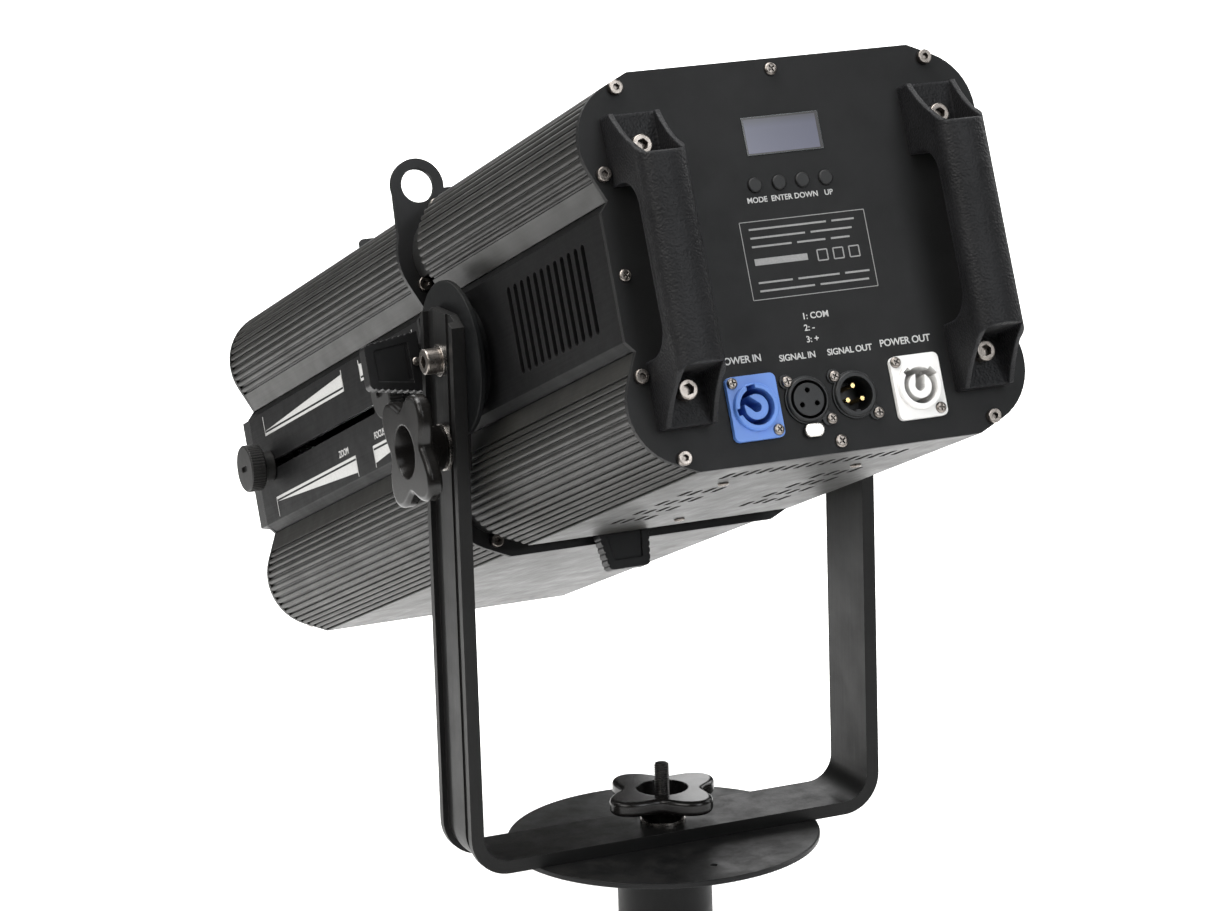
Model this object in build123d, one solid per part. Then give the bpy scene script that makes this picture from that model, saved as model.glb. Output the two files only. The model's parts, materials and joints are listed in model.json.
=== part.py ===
from build123d import *
import math, os

# ------------------------------------------------------------------ driving dimensions (mm)
TILT = 21.52            # nose-down angle of the head at rest
SOCKET_LEN = 75.0       # stand socket tube length
SOCKET_OR = 25.0        # stand socket tube outer radius
SOCKET_IR = 17.75       # stand socket bore radius
SOCKET_DEPTH = 68.0     # depth of the stand socket bore
PLATE_T = 3.0           # stand plate thickness
PLATE_R = 82.8          # stand plate radius
STUD_R = 4.0            # M8 stud
STUD_TOP = 39.0         # stud end above the yoke underside
YOKE_OX = 118.0         # yoke outer half width
YOKE_T = 7.0            # yoke bar thickness
YOKE_W = 42.0           # yoke bar width
YOKE_DROP = 269.3       # tilt axis above the yoke underside
YOKE_UP = 25.0          # arm end above the tilt axis
YOKE_RO = 21.0          # yoke outer bend radius
RUN = 0.05              # radial running clearance
PIVOT_R = 4.0           # M8 pivot screw
LOCK_DROP = 45.0        # tilt lock screw below the tilt axis
DISC_R = 39.8           # pivot disc radius
SIDE_X = 100.5          # head side panel half width
TOP_Z = 96.2            # head half height
TOP_X = 74.7            # flat top half length
REAR_Y = -193.0         # rear panel outer face
PANEL_T = 3.0
REAR_SHELL = (-190.0, 30.0)
GATE = (54.0, 57.0)     # gate plate
FRONT_SHELL = (57.0, 350.0)
FRONT_PLATE = (350.0, 353.0)
HOLDER = (353.0, 362.0)
RIB_PITCH = 4.05        # ribs round the lobes
RIB_GROOVE = 1.3        # groove width
RIB_DEPTH = 1.5         # groove depth
RIB_CROWN = 0.5         # rise of each rib between its edges
RIB_END = 66.55         # last groove edge, along the lobe from the end of the flat
WALL = 2.7              # shell wall over the ribs
EYE_HOLE_R = 9.0        # safety cable eye
EYE_R = 14.5
EYE_C = (-89.7, 100.7)
HANDLE_X = 78.9
HANDLE_PITCH = 117.0
HANDLE_H = 38.0
ZOOM_Y = 325.0
FOCUS_Y = 91.0
APERTURE_R = 37.0
PZ = SOCKET_LEN + PLATE_T + YOKE_DROP     # tilt axis height

os.makedirs("parts", exist_ok=True)
NODES = {}


# ------------------------------------------------------------------ helpers
def V(*a):
    return Vector(*a)


def cyl(r, p0, p1):
    p0, p1 = V(*p0), V(*p1)
    d = p1 - p0
    return Solid.make_cylinder(r, d.length, Plane(origin=p0, z_dir=d))


def cone(r0, r1, p0, p1):
    p0, p1 = V(*p0), V(*p1)
    d = p1 - p0
    return Solid.make_cone(r0, r1, d.length, Plane(origin=p0, z_dir=d))


def box(x0, x1, y0, y1, z0, z1):
    return Solid.make_box(x1 - x0, y1 - y0, z1 - z0, Plane(origin=(x0, y0, z0)))


def poly_face(pts):
    return Face(Wire.make_polygon([V(*p) for p in pts], close=True))


def prism(pts, axis, a, b):
    """Polygon pulled along an axis. pts are the two other coordinates in X, Y, Z order."""
    if axis == "y":
        f, d = poly_face([(p[0], a, p[1]) for p in pts]), V(0, b - a, 0)
    elif axis == "x":
        f, d = poly_face([(a, p[0], p[1]) for p in pts]), V(b - a, 0, 0)
    else:
        f, d = poly_face([(p[0], p[1], a) for p in pts]), V(0, 0, b - a)
    return Solid.extrude(f, d)


def edges_prism(edges, d):
    return Solid.extrude(Face(Wire(edges)), V(*d))


def slot(c, w, l, depth_axis, long_axis, a, b):
    """Rounded slot: c = centre in the two in-plane axes (long first)."""
    r = w / 2
    h = l / 2 - r
    out = None
    ax = "xyz"
    o = [0, 0, 0]
    la, da = ax.index(long_axis), ax.index(depth_axis)
    sa = 3 - la - da
    lo, hi = [0, 0, 0], [0, 0, 0]
    lo[la], hi[la] = c[0] - h, c[0] + h
    lo[sa], hi[sa] = c[1] - r, c[1] + r
    lo[da], hi[da] = a, b
    s = box(lo[0], hi[0], lo[1], hi[1], lo[2], hi[2])
    for e in (-h, h):
        p0, p1 = [0, 0, 0], [0, 0, 0]
        p0[la] = p1[la] = c[0] + e
        p0[sa] = p1[sa] = c[1]
        p0[da], p1[da] = a, b
        s = s + cyl(r, p0, p1)
    return s


def fuse(items):
    items = list(items)
    s = items[0]
    if len(items) > 1:
        s = s.fuse(*items[1:])
    return s


def cut(a, tools):
    tools = [t for t in tools]
    return a.cut(*tools) if tools else a


def solids(s):
    return s.solids() if not isinstance(s, (list, tuple)) else [q for t in s for q in t.solids()]


def put(name, shape, head=True):
    ss = solids(shape)
    c = Compound(ss)
    if head:
        c = c.moved(Location((0, 0, PZ), (-TILT, 0, 0)))
    NODES[name] = c


def hexagon(af, cx, cy, cz, axis, depth):
    """Hexagon bar: centre of the start face, pulled by depth along axis."""
    r = af / math.sqrt(3)
    pts = []
    for i in range(6):
        a = math.radians(60 * i + 15)
        u, v = r * math.cos(a), r * math.sin(a)
        if axis == "x":
            pts.append((cx, cy + u, cz + v))
        elif axis == "y":
            pts.append((cx + u, cy, cz + v))
        else:
            pts.append((cx + u, cy + v, cz))
    d = {"x": (depth, 0, 0), "y": (0, depth, 0), "z": (0, 0, depth)}[axis]
    return Solid.extrude(poly_face(pts), V(*d))


def along(axis, p, t):
    q = list(p)
    q["xyz".index(axis)] += t
    return tuple(q)


def cap_screw(p, axis, sgn, head_r, head_h, r, length, af):
    """Socket head cap screw. p is the seat under the head; the head goes along sgn*axis."""
    h = cyl(head_r, p, along(axis, p, sgn * head_h))
    k = along(axis, p, sgn * head_h)
    e = [q for q in h.edges() if q.geom_type == GeomType.CIRCLE]
    e.sort(key=lambda q: (q.center() - V(*k)).length)
    h = h.fillet(head_r * 0.14, e[:1])
    c = hexagon(af, k[0], k[1], k[2], axis, -sgn * head_h * 0.62)
    s = cyl(r, p, along(axis, p, -sgn * length))
    return fuse([h, s]).cut(c)


def cross_screw(p, axis, sgn, head_r, head_h, r, length, rot=20):
    """Pan head screw with a cross recess."""
    h = cyl(head_r, p, along(axis, p, sgn * head_h))
    k = along(axis, p, sgn * head_h)
    e = [q for q in h.edges() if q.geom_type == GeomType.CIRCLE]
    e.sort(key=lambda q: (q.center() - V(*k)).length)
    h = h.fillet(head_h * 0.72, e[:1])
    w, l, d = head_r * 0.24, head_r * 1.15, head_h * 0.6
    bars = []
    for a in (rot, rot + 90):
        b = Solid.make_box(l, w, d * 2, Plane(origin=(0, 0, 0))).moved(Location((-l / 2, -w / 2, -d)))
        b = b.moved(Location((0, 0, 0), (0, 0, a)))
        if axis == "x":
            b = b.moved(Location((0, 0, 0), (0, 90, 0)))
        elif axis == "y":
            b = b.moved(Location((0, 0, 0), (90, 0, 0)))
        bars.append(b.moved(Location(k)))
    s = cyl(r, p, along(axis, p, -sgn * length))
    return fuse([h, s]).cut(*bars)


# ------------------------------------------------------------------ head cross-section
A_C, A_R = (75.4, 63.0), 30.0


def arc_pt(a):
    return (A_C[0] + A_R * math.cos(a), A_C[1] + A_R * math.sin(a))


A0 = math.radians(65.0)
A1 = math.radians(-24.75)   # here the flank leaves the arc and runs straight into the notch
NOTCH = (96.0, 36.0)
FLANK_N = (math.cos(A1), math.sin(A1))


def lobe_path(s):
    """Point and outward normal on the upper right lobe, s from the end of the flat top."""
    p0, p1 = (TOP_X, TOP_Z), arc_pt(A0)
    l0 = math.dist(p0, p1)
    if s <= l0:
        t = s / l0
        n = (p1[1] - p0[1], -(p1[0] - p0[0]))
        m = math.hypot(*n)
        return (p0[0] + t * (p1[0] - p0[0]), p0[1] + t * (p1[1] - p0[1])), (-n[0] / m, -n[1] / m)
    a = A0 - (s - l0) / A_R
    if a >= A1:
        return arc_pt(a), (math.cos(a), math.sin(a))
    e = arc_pt(A1)
    m = math.dist(e, NOTCH)
    t = A_R * (A1 - a) / m
    return (e[0] + t * (NOTCH[0] - e[0]), e[1] + t * (NOTCH[1] - e[1])), FLANK_N


LOBE_L = math.dist((TOP_X, TOP_Z), arc_pt(A0)) + A_R * (A0 - A1) + math.dist(arc_pt(A1), NOTCH)


def lobe_at(s, d):
    (x, z), (nx, nz) = lobe_path(s)
    return (x - nx * d, z - nz * d)


def smooth_half(d=0.0, n=12):
    """Quarter outline from the flat top to the notch, inset by d."""
    pts = [(TOP_X - 0.2 * d, TOP_Z - d)]
    for i in range(n + 1):
        a = A0 + (A1 - A0) * i / n
        x, z = arc_pt(a)
        pts.append((x - math.cos(a) * d, z - math.sin(a) * d))
    pts.append((NOTCH[0] - FLANK_N[0] * d, NOTCH[1] - FLANK_N[1] * d))
    return pts


def full_outline(d=0.0):
    q = smooth_half(d) + [(SIDE_X - d, 31.0)]
    r = q + [(x, -z) for x, z in reversed(q)]
    return r + [(-x, z) for x, z in reversed(r)]


def rib_edges(y, sx, sz):
    """Ribbed lobe as edges at plane y, from the flat to the flank, mirrored by sx and sz."""
    P = lambda s, d: V(sx * lobe_at(s, d)[0], y, sz * lobe_at(s, d)[1])
    out = []
    first = last = P(0, 0)
    n = int(RIB_END / RIB_PITCH)
    s = RIB_END - n * RIB_PITCH
    w = RIB_PITCH - RIB_GROOVE
    out.append(Edge.make_line(last, P(s - RIB_GROOVE, RIB_CROWN * 0.5)))
    out.append(Edge.make_line(P(s - RIB_GROOVE, RIB_CROWN * 0.5), P(s - RIB_GROOVE + 0.15, RIB_DEPTH)))
    out.append(Edge.make_line(P(s - RIB_GROOVE + 0.15, RIB_DEPTH), P(s - 0.15, RIB_DEPTH)))
    last = P(s - 0.15, RIB_DEPTH)
    for i in range(n):
        a, b, c = P(s, RIB_CROWN), P(s + w / 2, 0.0), P(s + w, RIB_CROWN)
        out.append(Edge.make_line(last, a))
        out.append(Edge.make_three_point_arc(a, b, c))
        g0, g1 = P(s + w + 0.15, RIB_DEPTH), P(s + RIB_PITCH - 0.15, RIB_DEPTH)
        out.append(Edge.make_line(c, g0))
        out.append(Edge.make_line(g0, g1))
        last = g1
        s += RIB_PITCH
    out.append(Edge.make_line(last, P(s, 0.1)))
    m = lobe_len_arc()
    if s < m:
        out.append(Edge.make_line(P(s, 0.1), P(m, 0.0)))
        out.append(Edge.make_line(P(m, 0.0), P(LOBE_L, 0.0)))
    else:
        out.append(Edge.make_line(P(s, 0.1), P(LOBE_L, 0.0)))
    return first, out, P(LOBE_L, 0.0)


def lobe_len_arc():
    return math.dist((TOP_X, TOP_Z), arc_pt(A0)) + A_R * (A0 - A1)


def poly_edges(pts):
    return [Edge.make_line(a, b) for a, b in zip(pts, pts[1:]) if (a - b).length > 1e-4]


def shell(y0, y1, sz):
    """Ribbed half shell, upper (sz=1) or lower (sz=-1)."""
    fr, er, endr = rib_edges(y0, 1, sz)
    fl, el, endl = rib_edges(y0, -1, sz)
    low = [(92.2, 36.0)]
    inner = [p for p in smooth_half(WALL)]
    inner_r = list(reversed(inner))
    E_ = list(er)
    chain = [endr] + [V(x, y0, sz * z) for x, z in low] + [V(x, y0, sz * z) for x, z in inner_r]
    chain += [V(-x, y0, sz * z) for x, z in inner] + [V(-x, y0, sz * z) for x, z in reversed(low)] + [endl]
    E_ += poly_edges(chain)
    E_ += el
    E_.append(Edge.make_line(fl, fr))
    s = edges_prism(E_, (0, y1 - y0, 0))
    return s


def ports(y0, y1, sz):
    """Extruded screw ports inside a shell."""
    out = []
    env = prism([(x, z) for x, z in full_outline(1.8)], "y", y0, y1)
    for x, z in ((82.3, 89.0), (96.2, 48.4)):
        for sx in (1, -1):
            c = cyl(5.0, (sx * x, y0, sz * z), (sx * x, y1, sz * z))
            out.append(c & env)
    return out


def side_panel(y0, y1, sx):
    pts = [(SIDE_X, -31.0), (SIDE_X, 31.0), (96.0, 35.4), (95.0, 35.4), (95.0, 36.0), (92.2, 36.0), (97.6, 29.8),
           (97.6, -29.8), (92.2, -36.0), (95.0, -36.0), (95.0, -35.4), (96.0, -35.4)]
    return prism([(sx * x, z) for x, z in pts], "y", y0, y1)


# ------------------------------------------------------------------ stand
tube = cyl(SOCKET_OR, (0, 0, 0), (0, 0, SOCKET_LEN)).cut(cyl(SOCKET_IR, (0, 0, 0), (0, 0, SOCKET_DEPTH)))
plate = cyl(PLATE_R, (0, 0, SOCKET_LEN), (0, 0, SOCKET_LEN + PLATE_T)).cut(
    cyl(2.0, (0, -61, SOCKET_LEN), (0, -61, SOCKET_LEN + PLATE_T)))
ee = [e for e in plate.edges() if e.geom_type == GeomType.CIRCLE and e.length > 400]
plate = plate.fillet(0.6, ee)
YB = SOCKET_LEN + PLATE_T
stud = cyl(STUD_R, (0, 0, SOCKET_DEPTH), (0, 0, YB + STUD_TOP))
se = [e for e in stud.edges() if e.geom_type == GeomType.CIRCLE and e.center().Z > YB]
stud = stud.chamfer(0.8, None, se)
put("stand_socket_tube", tube.cut(stud), False)
put("stand_plate", plate.cut(stud), False)
put("stand_stud", stud, False)


# ------------------------------------------------------------------ yoke
def u_band(depth, y0, y1):
    """U bar with its outer face recessed by depth, between y0 and y1."""
    ro, ri = YOKE_RO - depth, YOKE_RO - YOKE_T
    xo, xi = YOKE_OX - depth, YOKE_OX - YOKE_T
    zb, zi, zt = YB + depth, YB + YOKE_T, PZ + YOKE_UP
    cz = YB + YOKE_RO
    cx = YOKE_OX - YOKE_RO
    k = math.sqrt(0.5)
    P = lambda x, z: V(x, y0, z)
    e = [Edge.make_line(P(-cx, zb), P(cx, zb)),
         Edge.make_three_point_arc(P(cx, zb), P(cx + ro * k, cz - ro * k), P(xo, cz)),
         Edge.make_line(P(xo, cz), P(xo, zt)), Edge.make_line(P(xo, zt), P(xi, zt)),
         Edge.make_line(P(xi, zt), P(xi, cz)),
         Edge.make_three_point_arc(P(xi, cz), P(cx + ri * k, cz - ri * k), P(cx, zi)),
         Edge.make_line(P(cx, zi), P(-cx, zi)),
         Edge.make_three_point_arc(P(-cx, zi), P(-cx - ri * k, cz - ri * k), P(-xi, cz)),
         Edge.make_line(P(-xi, cz), P(-xi, zt)), Edge.make_line(P(-xi, zt), P(-xo, zt)),
         Edge.make_line(P(-xo, zt), P(-xo, cz)),
         Edge.make_three_point_arc(P(-xo, cz), P(-cx - ro * k, cz - ro * k), P(-cx, zb))]
    return edges_prism(e, (0, y1 - y0, 0))


hw = YOKE_W / 2
yoke = fuse([u_band(0, -hw, -16.8), u_band(3.1, -16.8, -8.0), u_band(2.1, -8.0, 8.0),
             u_band(3.1, 8.0, 16.8), u_band(0, 16.8, hw)])
zt = PZ + YOKE_UP
for s in (1, -1):
    yoke = yoke.cut(prism([(s * 21.5, zt - 5.3), (s * 21.5, zt + 1), (s * 10.2, zt + 1)], "x", -130, 130))
yoke = yoke.cut(cyl(PIVOT_R + RUN, (-130, 0, PZ), (130, 0, PZ)),
                cyl(STUD_R + RUN, (0, 0, YB - 1), (0, 0, YB + 20)),
                cyl(4.0 + RUN, (-130, 0, PZ - LOCK_DROP), (-100, 0, PZ - LOCK_DROP)))
put("yoke", yoke, False)

BAND_X = YOKE_OX - 2.1
LZ = PZ - LOCK_DROP
wash = []
for s in (1, -1):
    wash.append(cyl(8.2, (s * BAND_X, 0, PZ), (s * (BAND_X + 1.6), 0, PZ)).cut(
        cyl(4.2, (s * (BAND_X - 1), 0, PZ), (s * (BAND_X + 3), 0, PZ))))
wash.append(cyl(12.0, (-BAND_X, 0, LZ), (-BAND_X - 1.6, 0, LZ)).cut(cyl(4.2, (-BAND_X + 1, 0, LZ), (-BAND_X - 3, 0, LZ))))
wash.append(cyl(12.0, (0, 0, YB + YOKE_T), (0, 0, YB + YOKE_T + 1.6)).cut(cyl(4.2, (0, 0, YB), (0, 0, YB + 20))))
put("washers", wash, False)

# clamp plate behind the disc rim, carried by the yoke
XI = YOKE_OX - YOKE_T
clamp = fuse([box(-107.7, -105.7, -11, 11, LZ - 11, LZ + 10),
              cyl(5.1, (-107.7, 0, LZ), (-XI, 0, LZ)).cut(box(-XI - 1, -107.6, -6, 6, PZ - 39.95, PZ - 30))])
clamp = clamp.cut(cyl(4.0 + RUN, (-XI - 1, 0, LZ), (-100, 0, LZ)))
put("tilt_clamp_plate", clamp, False)


# ------------------------------------------------------------------ star knobs (built on +Z, seat at z=0)
def star_knob(phase, z_star, t):
    n = 64
    pts = []
    for i in range(n):
        a = 2 * math.pi * i / n
        w = (0.5 + 0.5 * math.cos(4 * a)) ** 0.85
        r = 21.6 + 12.4 * w
        pts.append(V(r * math.cos(a + phase), r * math.sin(a + phase), z_star))
    e = Edge.make_spline(pts, periodic=True)
    body = Solid.extrude(Face(Wire([e])), V(0, 0, t))
    try:
        ed = [q for q in body.edges() if q.length > 60]
        body = body.fillet(2.4, ed)
    except Exception:
        pass
    hub = cone(11.0, 15.6, (0, 0, 0.0), (0, 0, z_star + 0.5))
    foot = cyl(11.0, (0, 0, 0), (0, 0, 3.0))
    k = fuse([body, hub, foot])
    bowl = cone(10.8, 13.7, (0, 0, z_star - 3.4), (0, 0, z_star + t + 0.05))
    return k.cut(bowl)


tk = star_knob(math.radians(63), 11.95, 8.0)
tk = fuse([tk, cyl(6.5, (0, 0, 4), (0, 0, 9.5)), cyl(4.0, (0, 0, -11.6), (0, 0, 6))])
tk = tk.moved(Location((0, 0, 0), (0, -90, 0))).moved(Location((-BAND_X - 1.65, 0, LZ)))
put("tilt_lock_knob", tk, False)
pk = star_knob(math.radians(18), 8.35, 8.0)
pk = fuse([pk, cyl(6.5, (0, 0, 2), (0, 0, 9.5))]).cut(cyl(STUD_R + RUN, (0, 0, -1), (0, 0, 30)))
pk = pk.moved(Location((0, 0, YB + YOKE_T + 1.65)))
put("pan_knob", pk, False)

# ------------------------------------------------------------------ head: fasteners first, so they can be cut from what they hold
caps = []
for sx in (1, -1):
    for sz in (1, -1):
        caps.append(cap_screw((sx * 82.3, REAR_Y, sz * 89.0), "y", -1, 3.5, 3.2, 2.0, 14, 3.0))
        caps.append(cap_screw((sx * 96.2, REAR_Y, sz * 48.4), "y", -1, 3.5, 3.2, 2.0, 14, 3.0))
        caps.append(cap_screw((sx * 82.3, GATE[0], sz * 89.0), "y", -1, 3.5, 3.2, 2.0, 14, 3.0))
        caps.append(cap_screw((sx * 96.2, GATE[0], sz * 48.4), "y", -1, 3.5, 3.2, 2.0, 14, 3.0))
        caps.append(cap_screw((sx * 82.3, FRONT_PLATE[1], sz * 89.0), "y", 1, 3.5, 3.2, 2.0, 14, 3.0))
        caps.append(cap_screw((sx * 78.0, GATE[1], sz * 74.0), "y", 1, 3.5, 4.0, 2.0, 27, 3.0))

cross = []
for sx in (1, -1):
    cross.append(cross_screw((sx * 94.6, REAR_Y, 0), "y", -1, 3.0, 1.6, 1.5, 8, 35))
for sz in (1, -1):
    cross.append(cross_screw((0, REAR_Y, sz * 90.8), "y", -1, 3.2, 1.8, 1.5, 8, 35))
cross.append(cross_screw((0, 5, -TOP_Z), "z", -1, 2.8, 1.4, 1.5, 6))
for x in (-36, 36):
    cross.append(cross_screw((x, -132, -TOP_Z), "z", -1, 2.8, 1.4, 1.5, 6))

hscr = []
for sx in (1, -1):
    for sz in (1, -1):
        hscr.append(cap_screw((sx * HANDLE_X, REAR_Y - 7.0, sz * HANDLE_PITCH / 2), "y", -1, 5.0, 6.0, 3.0, 18, 5.0))

SOCK = {"pin": (-42.0, -69.8), "pout": (45.0, -70.0), "sin": (-13.8, -69.4), "sout": (11.4, -69.7)}
SOCK_SCREWS = [(-51.9, -57.4), (-32.3, -81.7), (34.8, -57.4), (54.3, -81.6), (-22.9, -59.7), (-3.1, -79.8), (2.1, -60.0), (21.8, -79.9)]
sscr = []
for i, (x, z) in enumerate(SOCK_SCREWS):
    seat = REAR_Y - (2.6 if i < 4 else 1.2)
    sscr.append(cross_screw((x, seat, z), "y", -1, 2.7, 1.6, 1.4, 9, 10 + 23 * i))
put("cross_screws", cross + sscr)


# ------------------------------------------------------------------ sockets
def d_flange(cx, cz, w, h, r, t):
    f = box(cx - w / 2, cx + w / 2, REAR_Y - t, REAR_Y, cz - h / 2, cz + h / 2)
    ed = [e for e in f.edges() if abs(e.tangent_at(0.5).Y) > 0.9]
    return f.fillet(r, ed)


def power_socket(cx, cz, turn):
    """Keyed locking mains socket; turn is the direction of the core's opening in degrees."""
    f = d_flange(cx, cz, 26.0, 31.0, 3.0, 2.6)
    rear = cyl(11.6, (cx, REAR_Y - 2.0, cz), (cx, REAR_Y + 24, cz))
    boss = cyl(11.3, (cx, REAR_Y - 5.0, cz), (cx, REAR_Y, cz))
    be = [e for e in boss.edges() if e.geom_type == GeomType.CIRCLE and e.center().Y < REAR_Y - 4]
    boss = boss.fillet(0.8, be)
    s = fuse([f, boss, rear])
    ring = cyl(8.9, (cx, REAR_Y - 6, cz), (cx, REAR_Y + 18, cz)).cut(cyl(6.1, (cx, REAR_Y - 6, cz), (cx, REAR_Y + 18, cz)))
    top = cyl(6.2, (cx, REAR_Y - 6, cz), (cx, REAR_Y - 4.0, cz))
    core = cyl(2.6, (cx, REAR_Y - 6, cz), (cx, REAR_Y + 14, cz))
    a = math.radians(turn)
    gap = box(0, 8, REAR_Y - 6, REAR_Y + 12, -2.4, 2.4).moved(Location((0, 0, 0), (0, -turn, 0))).moved(Location((cx, 0, cz)))
    keys = [box(6, 10.6, REAR_Y - 6, REAR_Y + 6, -w, w).moved(Location((0, 0, 0), (0, -t, 0))).moved(Location((cx, 0, cz)))
            for t, w in ((turn - 40, 2.3), (turn + 50, 1.7))]
    return s.cut(ring, top, core, gap, *keys)


def signal_socket(cx, cz, female):
    """Round three-way signal socket: thin round face plate with two ears, and a rimmed barrel."""
    f = cyl(11.6, (cx, REAR_Y - 1.2, cz), (cx, REAR_Y, cz))
    for k in (1, -1):
        f = f + cyl(3.4, (cx - k * 9.4, REAR_Y - 1.2, cz + k * 9.9), (cx - k * 9.4, REAR_Y, cz + k * 9.9))
    barrel_ = cyl(9.6, (cx, REAR_Y - 1.6, cz), (cx, REAR_Y + 18, cz))
    lip = cyl(10.9, (cx, REAR_Y - 2.8, cz), (cx, REAR_Y, cz))
    le = [e for e in lip.edges() if e.geom_type == GeomType.CIRCLE and e.center().Y < REAR_Y - 2]
    lip = lip.fillet(0.9, le)
    s = fuse([f, barrel_, lip])
    if female:
        tools = [cyl(1.3, (cx + 4.5 * math.cos(math.radians(a)), REAR_Y - 4, cz + 4.5 * math.sin(math.radians(a))),
                     (cx + 4.5 * math.cos(math.radians(a)), REAR_Y + 12, cz + 4.5 * math.sin(math.radians(a)))) for a in (90, 210, 330)]
        grv = cyl(9.3, (cx, REAR_Y - 4, cz), (cx, REAR_Y + 13, cz)).cut(cyl(7.9, (cx, REAR_Y - 4, cz), (cx, REAR_Y + 13, cz)))
        s = s.cut(grv, *tools)
    else:
        s = s.cut(cyl(8.5, (cx, REAR_Y - 4, cz), (cx, REAR_Y + 12, cz)))
        s = s + box(cx - 1.3, cx + 1.3, REAR_Y - 1.5, REAR_Y + 12.5, cz - 9.0, cz - 7.4)
    return s


p_in = power_socket(*SOCK["pin"], 140)
p_out = power_socket(*SOCK["pout"], 80)
s_in = signal_socket(*SOCK["sin"], True)
s_out = signal_socket(*SOCK["sout"], False)
lx, lz = SOCK["sin"][0], -84.2
latch = slot((lx, lz), 6.4, 10.0, "y", "x", REAR_Y - 3.4, REAR_Y - 1.7)
ge = [e for e in latch.edges() if e.center().Y < REAR_Y - 3.3]
latch = latch.fillet(0.5, ge)
latch = fuse([latch, box(lx - 3.0, lx + 3.0, REAR_Y - 1.8, REAR_Y + 8, lz - 1.0, lz + 0.8)])
latch_room = box(lx - 3.05, lx + 3.05, REAR_Y - 6, REAR_Y + 12, lz - 1.05, lz + 0.85)
pins = [cyl(1.15, (SOCK["sout"][0] + 4.4 * math.cos(math.radians(a)), REAR_Y - 0.5, SOCK["sout"][1] + 4.4 * math.sin(math.radians(a))),
            (SOCK["sout"][0] + 4.4 * math.cos(math.radians(a)), REAR_Y + 22, SOCK["sout"][1] + 4.4 * math.sin(math.radians(a)))) for a in (90, 210, 330)]
s_out = s_out.cut(*pins)
s_in = s_in.cut(latch_room)
put("power_in_socket", p_in.cut(*sscr))
put("power_out_socket", p_out.cut(*sscr))
put("signal_in_socket", s_in.cut(*sscr))
put("signal_out_socket", s_out.cut(*sscr))
put("signal_pins", pins)
put("signal_latch", latch)

# ------------------------------------------------------------------ display, buttons, control board
BTN_X = (-19.6, -6.8, 5.6, 18.0)
BTN_Z = 35.7
DISP = (-20.3, 20.3, 50.0, 68.5)
window = box(DISP[0], DISP[1], REAR_Y - 0.3, REAR_Y + 2.2, DISP[2], DISP[3])
put("display_window", window)
btn = []
for i, x in enumerate(BTN_X):
    b = cyl(3.6, (x, REAR_Y - 1.6, BTN_Z), (x, REAR_Y + 4.0, BTN_Z))
    ed = [e for e in b.edges() if e.geom_type == GeomType.CIRCLE and e.center().Y < REAR_Y]
    b = b.fillet(0.7, ed)
    b = fuse([b, cyl(1.6, (x, REAR_Y + 4.0, BTN_Z), (x, REAR_Y + 7.6, BTN_Z))])
    btn.append(b)
    put("button_" + ("mode", "enter", "down", "up")[i], b)
board = box(-48, 48, REAR_Y + 9.2, REAR_Y + 10.8, 22, 76)
board = fuse([board, box(-24, 24, REAR_Y + 5.5, REAR_Y + 9.2, 47, 71)] +
             [box(x - 3, x + 3, REAR_Y + 8.8, REAR_Y + 9.3, BTN_Z - 3, BTN_Z + 3) for x in BTN_X] +
             [cyl(3.0, (x, REAR_Y + PANEL_T, z), (x, REAR_Y + 9.2, z)) for x in (-44, 44) for z in (26, 72)] +
             [box(-40, -10, REAR_Y + 10.8, REAR_Y + 13.5, 50, 66), box(8, 20, REAR_Y + 10.8, REAR_Y + 13.0, 30, 42),
              box(28, 42, REAR_Y + 10.8, REAR_Y + 18.0, 30, 44)])
put("control_board", board)

# ------------------------------------------------------------------ rear panel
panel = prism(full_outline(0.0), "y", REAR_Y, REAR_Y + PANEL_T)
panel = cut(panel, [cyl(3.6 + RUN, (x, REAR_Y - 1, BTN_Z), (x, REAR_Y + 5, BTN_Z)) for x in BTN_X])
panel = cut(panel, caps[0:24] + cross[0:4] + hscr + sscr)
panel = cut(panel, [window, p_in, p_out, s_in, s_out, latch_room,
                    box(-17.5, 17.5, REAR_Y + 2, REAR_Y + 4, 51.5, 67)])
panel = cut(panel, [cyl(11.6, (SOCK[k][0], REAR_Y - 1, SOCK[k][1]), (SOCK[k][0], REAR_Y + 5, SOCK[k][1])) for k in ("pin", "pout")] +
            [cyl(9.6, (SOCK[k][0], REAR_Y - 1, SOCK[k][1]), (SOCK[k][0], REAR_Y + 5, SOCK[k][1])) for k in ("sin", "sout")])
put("rear_panel", panel)


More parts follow.
